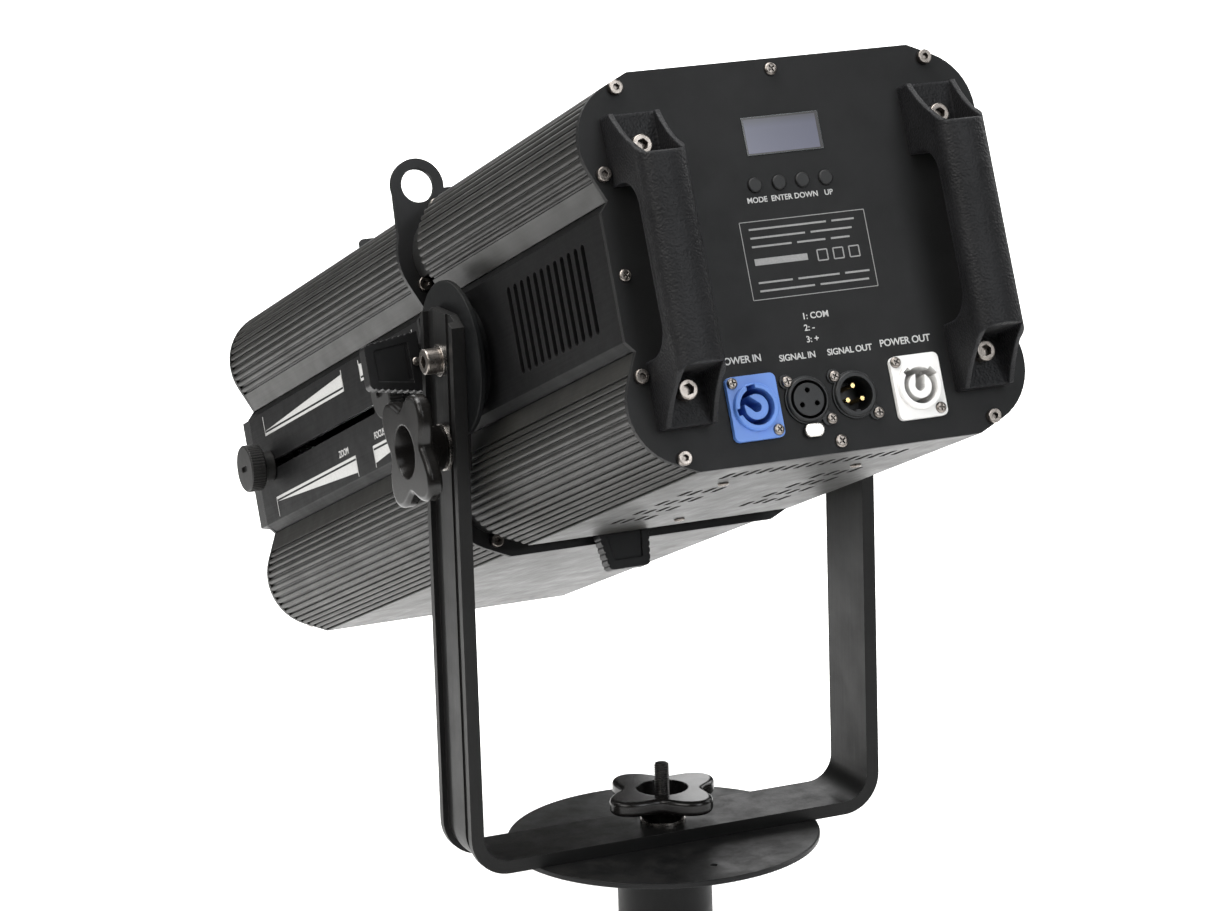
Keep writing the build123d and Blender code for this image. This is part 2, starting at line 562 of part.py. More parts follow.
# ------------------------------------------------------------------ handles
def handle(cx):
    yb = REAR_Y
    H_ = HANDLE_H
    # side profile in (y, z), pulled along x
    def P(z, h):
        return V(cx - 16, yb - h, z)
    e = [Edge.make_line(P(75, 0), P(75, 9.5)),
         Edge.make_three_point_arc(P(75, 9.5), P(61.5, 20.5), P(49.5, H_)),
         Edge.make_line(P(49.5, H_), P(-49.5, H_)),
         Edge.make_three_point_arc(P(-49.5, H_), P(-61.5, 20.5), P(-75, 9.5)),
         Edge.make_line(P(-75, 9.5), P(-75, 0)), Edge.make_line(P(-75, 0), P(-42, 0)),
         Edge.make_line(P(-42, 0), P(-42, 9)),
         Edge.make_three_point_arc(P(-42, 9), P(-38.5, 18.2), P(-29, 23)),
         Edge.make_line(P(-29, 23), P(29, 23)),
         Edge.make_three_point_arc(P(29, 23), P(38.5, 18.2), P(42, 9)),
         Edge.make_line(P(42, 9), P(42, 0)), Edge.make_line(P(42, 0), P(75, 0))]
    a = edges_prism(e, (32, 0, 0))
    # front profile in (x, y), pulled along z
    Q = lambda x, h: V(cx + x, yb - h, -80)
    f = [Edge.make_line(Q(-13.3, -0.5), Q(-13.3, 8)), Edge.make_line(Q(-13.3, 8), Q(-12.0, 26)),
         Edge.make_three_point_arc(Q(-12.0, 26), Q(-10.6, 34.2), Q(-7.0, 36.6)),
         Edge.make_three_point_arc(Q(-7.0, 36.6), Q(0, H_ - 0.05), Q(7.0, 36.6)),
         Edge.make_three_point_arc(Q(7.0, 36.6), Q(10.6, 34.2), Q(12.0, 26)),
         Edge.make_line(Q(12.0, 26), Q(13.3, 8)), Edge.make_line(Q(13.3, 8), Q(13.3, -0.5)),
         Edge.make_line(Q(13.3, -0.5), Q(-13.3, -0.5))]
    b = edges_prism(f, (0, 0, 160))
    s = a & b
    for k in (1, -1):
        pk_ = prism([(cx - 10.9, yb - 7.0), (cx - 9.4, yb - 40), (cx + 9.4, yb - 40), (cx + 10.9, yb - 7.0)], "z",
                    min(k * 50.5, k * 80), max(k * 50.5, k * 80))
        s = s.cut(pk_)
    return s.cut(*hscr)


hl, hr = handle(-HANDLE_X), handle(HANDLE_X)
put("handles", [hl, hr])

# ------------------------------------------------------------------ rear shells and side panels
Y0, Y1 = REAR_SHELL
tie = [c for c in caps]
upper = fuse([shell(Y0, Y1, 1)] + ports(Y0, Y1, 1))
upper = cut(upper, tie + [cross[2]])
put("rear_shell_upper", upper)
lower = fuse([shell(Y0, Y1, -1)] + ports(Y0, Y1, -1))
vents = []
for i in range(15):
    vents.append(slot((-160.5, -46.5 + 6.64 * i), 3.4, 17, "z", "y", -TOP_Z - 1, -TOP_Z + 6))
for col in range(4):
    for row in range(4):
        for s in (1, -1):
            yy = -20.5 - 28.6 * row - (3 if col % 2 else 0)
            vents.append(slot((yy, s * (27 + 6.5 * col)), 3.4, 16, "z", "y", -TOP_Z - 1, -TOP_Z + 6))
lower = cut(lower, tie + [cross[3]] + cross[4:] + vents)
put("rear_shell_lower", lower)

sp = []
side_vents = [slot((0, -66.25 - 8.9 * i), 4.5, 44, "x", "z", -130, 130) for i in range(12)]
pivot_screws = [cap_screw((s * (BAND_X + 1.65), 0, 0), "x", s, 6.5, 8.0, PIVOT_R, 29.0, 6.0) for s in (1, -1)]
for s in (1, -1):
    q = side_panel(Y0, Y1, s)
    boss = cyl(12, (s * 89, 0, 0), (s * 98, 0, 0))
    q = fuse([q, boss])
    sp.append(cut(q, side_vents + pivot_screws + cross[0:2]))
put("rear_side_panels", sp)
put("cap_screws", caps + hscr + pivot_screws)
discs = []
for s in (-1, 1):
    d = cyl(DISC_R, (s * 107.9, 0, 0), (s * 110.9, 0, 0))
    ed = [e for e in d.edges() if e.geom_type == GeomType.CIRCLE]
    d = d.chamfer(0.4, None, ed)
    d = fuse([d, cyl(28.0, (s * SIDE_X, 0, 0), (s * 108.0, 0, 0))])
    discs.append(d.cut(*pivot_screws))
put("pivot_discs", discs)

# ------------------------------------------------------------------ light engine
bulk_o = full_outline(4.2)
bulk = prism(bulk_o, "y", 30.0, 33.0)
bulk = bulk.cut(cyl(44.0, (0, 29, 0), (0, 34, 0)))
bulk = cut(bulk, caps)
barrel = cyl(47.0, (0, 4.0, 0), (0, 30.0, 0)).cut(cyl(44.0, (0, 4, 0), (0, 30, 0)))
cond = cyl(43.9, (0, 12, 0), (0, 20, 0))
dome = Solid.make_sphere(60.0, Plane(origin=(0, -20.0, 0))) & cyl(40.0, (0, 20, 0), (0, 45, 0))
cond = fuse([cond, dome])
put("light_bulkhead", bulk.fuse(barrel))
put("condenser_lens", cond)
sink = box(-64, 64, -18, -6, -44, 76)
fins = [box(-63.5 + 8 * i, -60.5 + 8 * i, -92, -18, -44, 76) for i in range(16)]
sink = fuse([sink] + fins + [cyl(4, (x, -6, z), (x, 4.0, z)) for x, z in ((-32, -32), (32, -32), (-32, 32), (32, 32))])
put("heatsink", sink)
led = fuse([box(-26, 26, -6, -4.2, -26, 26), cyl(14, (0, -4.2, 0), (0, -3.2, 0))])
put("led_board", led)
fo = box(-40, 40, -86, -61, -30, 50)
fo = fo.cut(cyl(38.2, (0, -90, 10), (0, -55, 10)))
spider = fuse([cyl(9, (0, -86, 10), (0, -83.5, 10)).fuse(box(-39.5, 39.5, -86, -84, 8.5, 11.5), box(-1.5, 1.5, -86, -84, -29.5, 49.5))])
fo = fuse([fo, spider])
axle = cyl(2.0, (0, -84, 10), (0, -64.5, 10))
fo = fuse([fo, axle])
FAN_BACK = Location((0, -33.0, 0))    # the fan stands behind the fins
put("fan_frame", fo.moved(FAN_BACK))
rot = cyl(15.0, (0, -82.5, 10), (0, -63, 10))
blades = []
for i in range(7):
    b = box(13, 36.8, -1.0, 1.0, -8.0, 8.0).moved(Location((0, 0, 0), (38, 0, 0)))
    b = b.moved(Location((0, 0, 0), (0, 0, 0)))
    blades.append(b.moved(Location((0, -72.5, 10), (0, 360.0 / 7 * i, 0))))
rot = fuse([rot] + blades).cut(cyl(2.0 + RUN, (0, -90, 10), (0, -64.4, 10)))
put("fan_rotor", rot.moved(FAN_BACK))
psu = box(-58, 58, -150, -64, -90.5, -48)
ed = [e for e in psu.edges() if e.length > 80]
psu = psu.fillet(2, ed)
psu = psu.cut(*[box(-50 + 9 * i, -45 + 9 * i, -151, -148, -84, -56) for i in range(12)])
psu = cut(psu, cross)
# the second module drives the light array, and stands over the fan
drv = box(-44, 44, -160, -98, 57, 84)
ed = [e for e in drv.edges() if e.length > 80]
drv = drv.fillet(2, ed)
drv = drv.cut(*[box(-36 + 10 * i, -31 + 10 * i, -161, -158, 62, 79) for i in range(8)])
drv = cut(drv, cross)
put("power_supply", [psu, drv])

# ------------------------------------------------------------------ gate
g = prism(full_outline(-2.0), "y", GATE[0], GATE[1])
tab = prism([(EYE_C[0] - EYE_R * 0.98, EYE_C[1] - 2.0), (-105.5, 72.0), (-92.0, 60.0), (-60.0, 80.0), (EYE_C[0] + EYE_R * 0.9, EYE_C[1] - 4.0)],
            "y", GATE[0], GATE[1])
eye = cyl(EYE_R, (EYE_C[0], GATE[0], EYE_C[1]), (EYE_C[0], GATE[1], EYE_C[1]))
g = fuse([g, tab, eye]).cut(cyl(EYE_HOLE_R, (EYE_C[0], GATE[0] - 1, EYE_C[1]), (EYE_C[0], GATE[1] + 1, EYE_C[1])),
                            cyl(48.0, (0, GATE[0] - 1, 0), (0, GATE[1] + 1, 0)))
put("gate_plate", cut(g, caps))
sp_o = full_outline(6.0)
blk = prism(sp_o, "y", 33.0, GATE[0])
corners = []
env1 = [box(66, 110, 30, 60, 52, 100), box(-110, -66, 30, 60, 52, 100), box(66, 110, 30, 60, -100, -52), box(-110, -66, 30, 60, -100, -52)]
guide_o = [(x * 1.0, z * 1.0) for x, z in ((80, 60), (80, -60), (60, -80), (-60, -80), (-80, -60), (-80, 60), (-60, 80), (60, 80))]
guides = []
# open slots in the rear guide, one for the screw head of each shutter grip when it is pushed right in
SCREW_SLOTS = [box(-82, -64.5, 38, 41.5, 3.6, 10.4), box(64.5, 82, 38, 41.5, -10.4, -3.6),
               box(-19.4, -12.6, 38, 41.5, -82, -64.5), box(12.6, 19.4, 38, 41.5, 64.5, 82)]
for ya, yb_ in ((39.4, 40.9), (49.1, 50.6)):
    q = prism(guide_o, "y", ya, yb_)
    if ya < 41.0:
        q = q.cut(*SCREW_SLOTS)
    guides.append(cut(q.cut(cyl(APERTURE_R, (0, ya - 1, 0), (0, yb_ + 1, 0))), caps))
for e in env1:
    c = blk & e
    c = cut(c, [box(-200, 200, 39.4, 40.9, -200, 200) & prism(guide_o, "y", 39.0, 41.5), prism(guide_o, "y", 49.1, 50.6)] + caps)
    corners += c.solids()
put("corner_spacers", corners)
put("shutter_guides", guides)


# ------------------------------------------------------------------ shutters (built pointing -x, then turned about y)
def shutter(ang, plane, off, push):
    """ang turns the -x shutter about +y; off is the sideways offset of the grip; push moves it inwards."""
    y0_ = 41.5 + 1.5 * plane
    b = fuse([box(-96, -39.5, y0_, y0_ + 1.0, -36, 36),
              prism([(-118, off - 9), (-95.5, off - 9), (-95.5, off + 9), (-118, off + 9)], "y", y0_, y0_ + 1.0)])
    pts = [(-110, off - 16), (-140, off - 11.5), (-140, off + 11.5), (-110, off + 16)]
    gr = prism(pts, "y", 41.0, 49.0)
    ed = [e for e in gr.edges() if abs(e.tangent_at(0.5).Y) > 0.9 and e.center().X < -120]
    gr = gr.fillet(3.0, ed)
    tools = []
    for i in range(8):
        t = -137.5 + 3.4 * i
        w = 11.5 + 4.5 * (t + 140) / 30.0
        for k in (1, -1):
            tools.append(cyl(0.75, (t, 40, off + k * (w + 0.25)), (t, 50, off + k * (w + 0.25))))
    rec = [prism([(-135, off - 8), (-116, off - 10.5), (-116, off + 10.5), (-135, off + 8)], "y", 40.0, 42.0 if plane > 0 else 41.4),
           prism([(-135, off - 8), (-116, off - 10.5), (-116, off + 10.5), (-135, off + 8)], "y", 48.2, 50)]
    gr = gr.cut(*tools, *rec)
    gr = gr.cut(b)
    L = Location((0, 0, 0), (0, ang, 0))
    m = Location((push, 0, 0))
    return b.moved(m).moved(L), gr.moved(m).moved(L)


SH = {"left": (0, 0, 7.0, 0.0), "bottom": (-90, 1, 16.0, 26.0), "right": (180, 2, 7.0, 0.0), "top": (90, 3, 16.0, 22.0)}
for n, a in SH.items():
    b, gr = shutter(*a)
    put("shutter_blade_" + n, b)
    put("shutter_grip_" + n, gr)

# ------------------------------------------------------------------ front housing
Y0, Y1 = FRONT_SHELL
fu = cut(fuse([shell(Y0, Y1, 1)] + ports(Y0, Y1, 1)), caps)
fl = cut(fuse([shell(Y0, Y1, -1)] + ports(Y0, Y1, -1)), caps)
put("front_shell_upper", fu)
put("front_shell_lower", fl)
fsp = []
for s in (1, -1):
    q = side_panel(Y0, Y1, s)
    if s < 0:
        q = q.cut(slot((240, 0), 5.0, 190, "x", "y", -110, -90), slot((105, 0), 5.0, 68, "x", "y", -110, -90))
    fsp.append(q)
put("front_side_panels", fsp)
fp = prism(full_outline(0.0), "y", *FRONT_PLATE).cut(cyl(58.0, (0, 349, 0), (0, 354, 0)))
put("front_plate", cut(fp, caps))
ho = [(SIDE_X, -31), (SIDE_X, 31), (90.5, 33.5), (86.5, 62), (68, 86), (-68, 86), (-86.5, 62), (-90.5, 33.5), (-SIDE_X, 31), (-SIDE_X, -31),
      (-90.5, -33.5), (-86.5, -62), (-68, -87), (68, -87), (86.5, -62), (90.5, -33.5)]
def inset(pts, d):
    """Convex polygon moved in by d."""
    out = []
    n = len(pts)
    lines = []
    for i in range(n):
        (x0, z0), (x1, z1) = pts[i], pts[(i + 1) % n]
        m = math.hypot(x1 - x0, z1 - z0)
        nx, nz = -(z1 - z0) / m, (x1 - x0) / m
        lines.append((nx, nz, nx * x0 + nz * z0 + d))
    for i in range(n):
        a, b = lines[i - 1], lines[i]
        det = a[0] * b[1] - a[1] * b[0]
        out.append(((a[2] * b[1] - a[1] * b[2]) / det, (a[0] * b[2] - a[2] * b[0]) / det))
    return out


hold = prism(ho, "y", *HOLDER).cut(prism(inset(ho, 1.5), "y", HOLDER[0] - 1, HOLDER[1] - 1.5))
rails = [box(s * 77.5 - 1.0, s * 77.5 + 1.0, HOLDER[0], HOLDER[1] - 1, -60, 60) for s in (1, -1)]
rails += [box(-30, 30, HOLDER[0], HOLDER[1] - 1, -81.6, -79.8)]
hold = fuse([hold] + rails)
hold = hold.cut(cyl(72.0, (0, 352, 0), (0, 363, 0)), prism([(76.4, -79.8), (76.4, 100), (-76.4, 100), (-76.4, -79.8)], "y", 353.5, 359.5))
bosses = [cyl(4.5, (s * 84, HOLDER[0], z), (s * 84, HOLDER[1] - 1, z)) for s in (1, -1) for z in (-20, 20)]
hold = fuse([hold] + bosses)
put("colour_frame_holder", cut(hold, caps))
cf = fuse([box(-76.0, 76.0, 355.3, 356.7, -79.6, 93.5), box(-12, 12, 355.3, 356.7, 93, 130.5)])
ed = [e for e in cf.edges() if abs(e.tangent_at(0.5).Y) > 0.9 and e.center().Z > 129]
cf = cf.fillet(3.0, ed)
cf = cf.cut(cyl(68.0, (0, 354, 0), (0, 358, 0)))
put("colour_frame", cf)
ROD = ((-70.0, -44.0), (70.0, -44.0), (-70.0, 44.0), (70.0, 44.0))
rods = [cyl(4.0, (x, Y0, z), (x, Y1, z)) for x, z in ROD[:2]]
put("guide_rods", rods)
hood = cyl(60.0, (0, 62.0, 0), (0, Y1, 0)).cut(cyl(59.4, (0, 61, 0), (0, Y1 + 1, 0)), box(-70, 70, 61, Y1 + 1, -70, 8.6))
put("light_hood", hood)


# ------------------------------------------------------------------ moving lenses and their knobs
def lens_unit(yc, rl, t):
    ring = cyl(rl + 6, (0, yc - 7, 0), (0, yc + 7, 0))
    ears = [prism([(s * 40, -30), (s * 40, -54), (s * 78, -54), (s * 78, -36), (s * 58, -16)], "y", yc - 7, yc + 7) for s in (1, -1)]
    arm = box(-84, -50, yc - 6, yc + 6, -7, 7)
    c = fuse([ring] + ears + [arm])
    c = c.cut(cyl(rl, (0, yc - 8, 0), (0, yc + 8, 0)),
              *[cyl(4.0 + RUN, (x, yc - 10, z), (x, yc + 10, z)) for x, z in ROD[:2]],
              cyl(2.2 + RUN, (-90, yc, 0), (-70, yc, 0)))
    R_ = (rl * rl + t * t) / (2 * t)
    lens = cyl(rl, (0, yc - 2, 0), (0, yc + 2, 0))
    d1 = Solid.make_sphere(R_, Plane(origin=(0, yc + 2 - (R_ - t), 0))) & cyl(rl, (0, yc + 2, 0), (0, yc + 30, 0))
    d2 = Solid.make_sphere(R_, Plane(origin=(0, yc - 2 + (R_ - t), 0))) & cyl(rl, (0, yc - 30, 0), (0, yc - 2, 0))
    lens = fuse([lens, d1, d2])
    hub = cyl(8.5, (-101.0, yc, 0), (-108.0, yc, 0))
    kn = cyl(13.5, (-108.0, yc, 0), (-117.0, yc, 0))
    ed = [e for e in kn.edges() if e.geom_type == GeomType.CIRCLE]
    kn = kn.chamfer(0.8, None, ed)
    cuts = []
    for i in range(48):
        a = 2 * math.pi * i / 48
        cuts.append(cyl(0.55, (-106, yc + 13.7 * math.cos(a), 13.7 * math.sin(a)), (-118, yc + 13.7 * math.cos(a), 13.7 * math.sin(a))))
    kn = kn.cut(*cuts)
    kn = kn.cut(slot((yc, 0), 3.4, 10.0, "x", "y", -118, -115.4))
    stem = cyl(2.2, (-101.5, yc, 0), (-72, yc, 0))
    return c, lens, fuse([kn, hub, stem])


for n, yc, rl, t in (("zoom", ZOOM_Y, 50.0, 8.0), ("focus", FOCUS_Y, 46.0, 7.0)):
    c, l, k = lens_unit(yc, rl, t)
    put(n + "_carriage", c)
    put(n + "_lens", l)
    put(n + "_knob", k)

for name, shape in NODES.items():
    export_step(shape, "parts/" + name + ".step")
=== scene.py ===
# A stage light with zoom and focus lenses: a long head in a yoke, above a stand plate.
# World frame in metres: +Z is up, the rear panel faces -Y, the front faces +Y.
# The head pivots about an axis along X at PIVOT_HEIGHT, and its front is tipped down by TILT.
import bpy
import bmesh
import json
import math
import random
from mathutils import Vector, Matrix
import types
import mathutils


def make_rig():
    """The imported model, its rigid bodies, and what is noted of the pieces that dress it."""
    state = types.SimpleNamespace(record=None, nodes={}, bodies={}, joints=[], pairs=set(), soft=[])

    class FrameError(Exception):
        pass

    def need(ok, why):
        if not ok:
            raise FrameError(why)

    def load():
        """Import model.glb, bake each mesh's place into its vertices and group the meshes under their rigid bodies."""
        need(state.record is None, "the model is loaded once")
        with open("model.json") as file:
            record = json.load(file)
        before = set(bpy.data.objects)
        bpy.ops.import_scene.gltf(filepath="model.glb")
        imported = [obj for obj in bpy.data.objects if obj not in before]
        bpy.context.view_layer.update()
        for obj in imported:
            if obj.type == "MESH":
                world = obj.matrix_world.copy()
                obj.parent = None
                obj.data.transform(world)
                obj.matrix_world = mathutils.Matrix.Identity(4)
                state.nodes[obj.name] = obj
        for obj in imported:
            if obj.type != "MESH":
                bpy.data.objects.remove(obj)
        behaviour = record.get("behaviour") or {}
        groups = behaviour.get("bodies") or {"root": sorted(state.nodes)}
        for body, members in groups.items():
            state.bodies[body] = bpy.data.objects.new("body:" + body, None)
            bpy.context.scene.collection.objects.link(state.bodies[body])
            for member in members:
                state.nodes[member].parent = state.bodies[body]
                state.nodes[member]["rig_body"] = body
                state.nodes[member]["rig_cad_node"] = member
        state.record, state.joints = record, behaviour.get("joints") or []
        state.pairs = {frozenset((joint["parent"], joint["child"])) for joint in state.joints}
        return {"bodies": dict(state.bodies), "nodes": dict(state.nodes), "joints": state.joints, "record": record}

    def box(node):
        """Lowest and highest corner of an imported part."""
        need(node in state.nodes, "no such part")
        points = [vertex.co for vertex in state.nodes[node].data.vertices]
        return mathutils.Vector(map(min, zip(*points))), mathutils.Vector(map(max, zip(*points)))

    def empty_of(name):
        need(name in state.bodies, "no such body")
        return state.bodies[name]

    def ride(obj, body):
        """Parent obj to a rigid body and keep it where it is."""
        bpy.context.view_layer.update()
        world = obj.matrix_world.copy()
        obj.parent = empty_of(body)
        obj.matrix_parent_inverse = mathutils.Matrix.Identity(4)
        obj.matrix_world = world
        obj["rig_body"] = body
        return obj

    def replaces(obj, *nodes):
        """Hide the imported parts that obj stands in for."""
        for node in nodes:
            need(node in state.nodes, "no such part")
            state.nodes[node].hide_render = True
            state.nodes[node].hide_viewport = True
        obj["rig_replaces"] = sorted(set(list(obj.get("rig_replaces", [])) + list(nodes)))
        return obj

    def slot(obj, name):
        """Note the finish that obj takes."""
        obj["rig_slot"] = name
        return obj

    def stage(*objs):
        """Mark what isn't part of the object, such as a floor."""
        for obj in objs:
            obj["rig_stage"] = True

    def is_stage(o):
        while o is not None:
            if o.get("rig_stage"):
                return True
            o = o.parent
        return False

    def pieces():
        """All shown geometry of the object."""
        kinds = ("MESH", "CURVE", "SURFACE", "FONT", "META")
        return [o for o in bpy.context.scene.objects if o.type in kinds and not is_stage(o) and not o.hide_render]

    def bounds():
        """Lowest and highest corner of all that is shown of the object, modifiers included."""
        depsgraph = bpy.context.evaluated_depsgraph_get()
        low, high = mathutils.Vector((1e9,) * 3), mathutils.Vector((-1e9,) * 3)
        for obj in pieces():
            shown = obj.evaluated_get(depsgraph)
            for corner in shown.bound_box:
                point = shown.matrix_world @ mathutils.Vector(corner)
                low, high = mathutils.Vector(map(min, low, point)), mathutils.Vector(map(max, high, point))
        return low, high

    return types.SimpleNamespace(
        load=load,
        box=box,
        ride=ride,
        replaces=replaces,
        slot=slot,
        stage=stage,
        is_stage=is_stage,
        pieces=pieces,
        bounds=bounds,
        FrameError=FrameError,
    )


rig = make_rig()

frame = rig.load()
CAD_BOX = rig.bounds()
NODES = frame["nodes"]

MM = 0.001
TILT = math.radians(21.52)
PIVOT_HEIGHT = 0.3473
HEAD_FRAME = Matrix.Translation((0, 0, PIVOT_HEIGHT)) @ Matrix.Rotation(-TILT, 4, "X")


# ---------------------------------------------------------------- material building
MATERIALS = {}
BLACK_DEPTH = 0.68                      # scales colour and specular of the black finishes
DUST_COLOR = (0.11, 0.105, 0.095)
INPUT_NAMES = {
    "color": "Base Color", "rough": "Roughness", "metal": "Metallic",
    "specular": "Specular IOR Level", "coat": "Coat Weight", "coat_rough": "Coat Roughness",
    "normal": "Normal", "transmission": "Transmission Weight", "ior": "IOR",
    "emission": "Emission Color", "emission_strength": "Emission Strength",
}


def scaled(color, factor):
    return tuple(c * factor for c in color)


class Shader:
    """One principled material, stored in MATERIALS under its name.

    Its texture space is in millimetres, square to the tilted head ("head")
    or to the world ("world"). Noise and Voronoi scales are per millimetre.
    """

    def __init__(self, name, space="head"):
        material = MATERIALS[name] = bpy.data.materials.new("mat_" + name)
        material.use_nodes = True
        self.tree = material.node_tree
        self.tree.nodes.clear()
        output = self.node("ShaderNodeOutputMaterial")
        self.surface = self.node("ShaderNodeBsdfPrincipled")
        self.link(self.surface.outputs[0], output.inputs[0])
        coords = self.node("ShaderNodeTexCoord")
        mapping = self.node("ShaderNodeMapping")
        if space == "head":
            mapping.inputs["Rotation"].default_value = (TILT, 0, 0)
            mapping.inputs["Location"].default_value = (
                0, PIVOT_HEIGHT * math.sin(TILT) * 1000, -PIVOT_HEIGHT * math.cos(TILT) * 1000)
        mapping.inputs["Scale"].default_value = (1000, 1000, 1000)
        self.link(coords.outputs["Object"], mapping.inputs["Vector"])
        self.coords = mapping.outputs[0]

    def node(self, kind, **properties):
        node = self.tree.nodes.new(kind)
        for key, value in properties.items():
            setattr(node, key, value)
        return node

    def link(self, source, target):
        self.tree.links.new(source, target)

    def feed(self, socket, value):
        """Give a socket a number, an RGB colour or a link."""
        if isinstance(value, (int, float)):
            socket.default_value = value
        elif isinstance(value, tuple):
            socket.default_value = (*value, 1)
        else:
            self.link(value, socket)

    def set(self, **values):
        for key, value in values.items():
            self.feed(self.surface.inputs[INPUT_NAMES[key]], value)

    def noise(self, scale, detail, rough, stretch=None):
        node = self.node("ShaderNodeTexNoise")
        node.inputs["Scale"].default_value = scale
        node.inputs["Detail"].default_value = detail
        node.inputs["Roughness"].default_value = rough
        coords = self.coords
        if stretch:
            mapping = self.node("ShaderNodeMapping")
            mapping.inputs["Scale"].default_value = stretch
            self.link(coords, mapping.inputs["Vector"])
            coords = mapping.outputs[0]
        self.link(coords, node.inputs["Vector"])
        return node.outputs["Fac"]

    def voronoi(self, scale, randomness, feature="F1"):
        node = self.node("ShaderNodeTexVoronoi", feature=feature)
        node.inputs["Scale"].default_value = scale
        node.inputs["Randomness"].default_value = randomness
        self.link(self.coords, node.inputs["Vector"])
        return node.outputs["Distance"]

    def ramp(self, factor, *stops):
        """Colour ramp; each stop is (position, grey or RGB)."""
        node = self.node("ShaderNodeValToRGB")
        elements = node.color_ramp.elements
        while len(elements) < len(stops):
            elements.new(0.5)
        for element, (position, color) in zip(elements, stops):
            element.position = position
            element.color = (*color, 1) if isinstance(color, tuple) else (color, color, color, 1)
        self.link(factor, node.inputs[0])
        return node.outputs[0]

    def rise(self, factor, low, high):
        """0 up to low, 1 from high on."""
        return self.ramp(factor, (low, 0.0), (high, 1.0))

    def math(self, operation, a, b):
        node = self.node("ShaderNodeMath", operation=operation)
        self.feed(node.inputs[0], a)
        self.feed(node.inputs[1], b)
        return node.outputs[0]

    def times(self, a, b):
        return self.math("MULTIPLY", a, b)

    def swing(self, factor, middle, amount):
        """Factor less its middle value, scaled by amount."""
        return self.times(self.math("SUBTRACT", factor, middle), amount)

    def within(self, value, low, high):
        above = self.math("GREATER_THAN", value, low)
        return self.times(above, self.math("LESS_THAN", value, high))

    def mix(self, factor, a, b, blend="MIX"):
        node = self.node("ShaderNodeMix", data_type="RGBA", blend_type=blend)
        for index, value in ((0, factor), (6, a), (7, b)):
            self.feed(node.inputs[index], value)
        return node.outputs[2]

    def edges(self, radius):
        """Rounded normal, and a value that grows where it departs from the flat one.

        The radius is in millimetres.
        """
        bevel = self.node("ShaderNodeBevel", samples=4)
        bevel.inputs["Radius"].default_value = radius * MM
        geometry = self.node("ShaderNodeNewGeometry")
        dot = self.node("ShaderNodeVectorMath", operation="DOT_PRODUCT")
        self.link(bevel.outputs[0], dot.inputs[0])
        self.link(geometry.outputs["Normal"], dot.inputs[1])
        return bevel.outputs[0], self.math("SUBTRACT", 1.0, dot.outputs["Value"])

    def bump(self, height, distance, strength, normal=None):
        """Bump of the given distance in millimetres, over an earlier normal if there is one."""
        node = self.node("ShaderNodeBump")
        node.inputs["Strength"].default_value = strength
        node.inputs["Distance"].default_value = distance * MM
        self.link(height, node.inputs["Height"])
        if normal is not None:
            self.link(normal, node.inputs["Normal"])
        return node.outputs[0]

    def patchy_rough(self, scale, rough):
        """Roughness that drifts between the two values of rough."""
        patches = self.noise(scale, detail=4, rough=0.65)
        return self.ramp(patches, (0.3, rough[0]), (0.7, rough[1]))


# Arguments shared by the three finishes below:
#   rough   lowest and highest roughness         edge    radius of the worn edges with a painted highlight, mm
#   grain   scale of the fine noise              wear_and_highlight  strength of the edge colour: wear and painted highlight
#   streak  stretch of the texture space along each axis, for drawn marks
def coated(name, base, worn_and_highlight, rough, grain=1.6, grain_height=0.015, streak=None, edge=0.5,
           wear_and_highlight=0.5, specular=0.5, dust=0.10, space="head"):
    """Painted or anodised metal: grain, tone drift, dust on upward faces, and lighter edges from wear and a painted
    highlight.
    """
    base = scaled(base, BLACK_DEPTH)
    s = Shader(name, space)
    drift = s.noise(0.018, detail=3, rough=0.6)
    fine = s.noise(grain, detail=2, rough=0.6)
    blotches = s.noise(0.11, detail=4, rough=0.7)
    normal, edge_mask = s.edges(edge)
    # Lighter edges: worn paint, and a painted highlight along the edges.
    edge_breakup = s.ramp(s.noise(0.35, detail=4, rough=0.75), (0.35, 0.1), (0.65, 1.0))
    edge_wear_and_highlight = s.times(s.rise(edge_mask, 0.02, 0.30), edge_breakup)

    color = s.mix(s.rise(drift, 0.3, 0.7), scaled(base, 0.78), scaled(base, 1.25))
    color = s.mix(s.times(s.rise(fine, 0.45, 0.75), 0.35), color, scaled(base, 1.8))
    geometry = s.node("ShaderNodeNewGeometry")
    facing = s.node("ShaderNodeSeparateXYZ")
    s.link(geometry.outputs["Normal"], facing.inputs[0])
    dusty = s.times(s.rise(facing.outputs[2], 0.35, 1.0), s.rise(blotches, 0.42, 0.72))
    color = s.mix(s.times(dusty, dust), color, DUST_COLOR)
    # Edge colour: wear, and a painted highlight.
    color = s.mix(s.times(edge_wear_and_highlight, wear_and_highlight), color, scaled(worn_and_highlight, BLACK_DEPTH))

    roughness = s.math("ADD", s.patchy_rough(0.05, rough), s.times(dusty, 0.12))
    if streak:
        marks = s.noise(0.9, detail=3, rough=0.6, stretch=streak)
        normal = s.bump(marks, distance=0.012, strength=0.8, normal=normal)
        roughness = s.math("ADD", roughness, s.swing(marks, middle=0.5, amount=0.14))
    normal = s.bump(fine, distance=grain_height, strength=0.9, normal=normal)
    s.set(color=color, rough=roughness, normal=normal, specular=specular * BLACK_DEPTH)


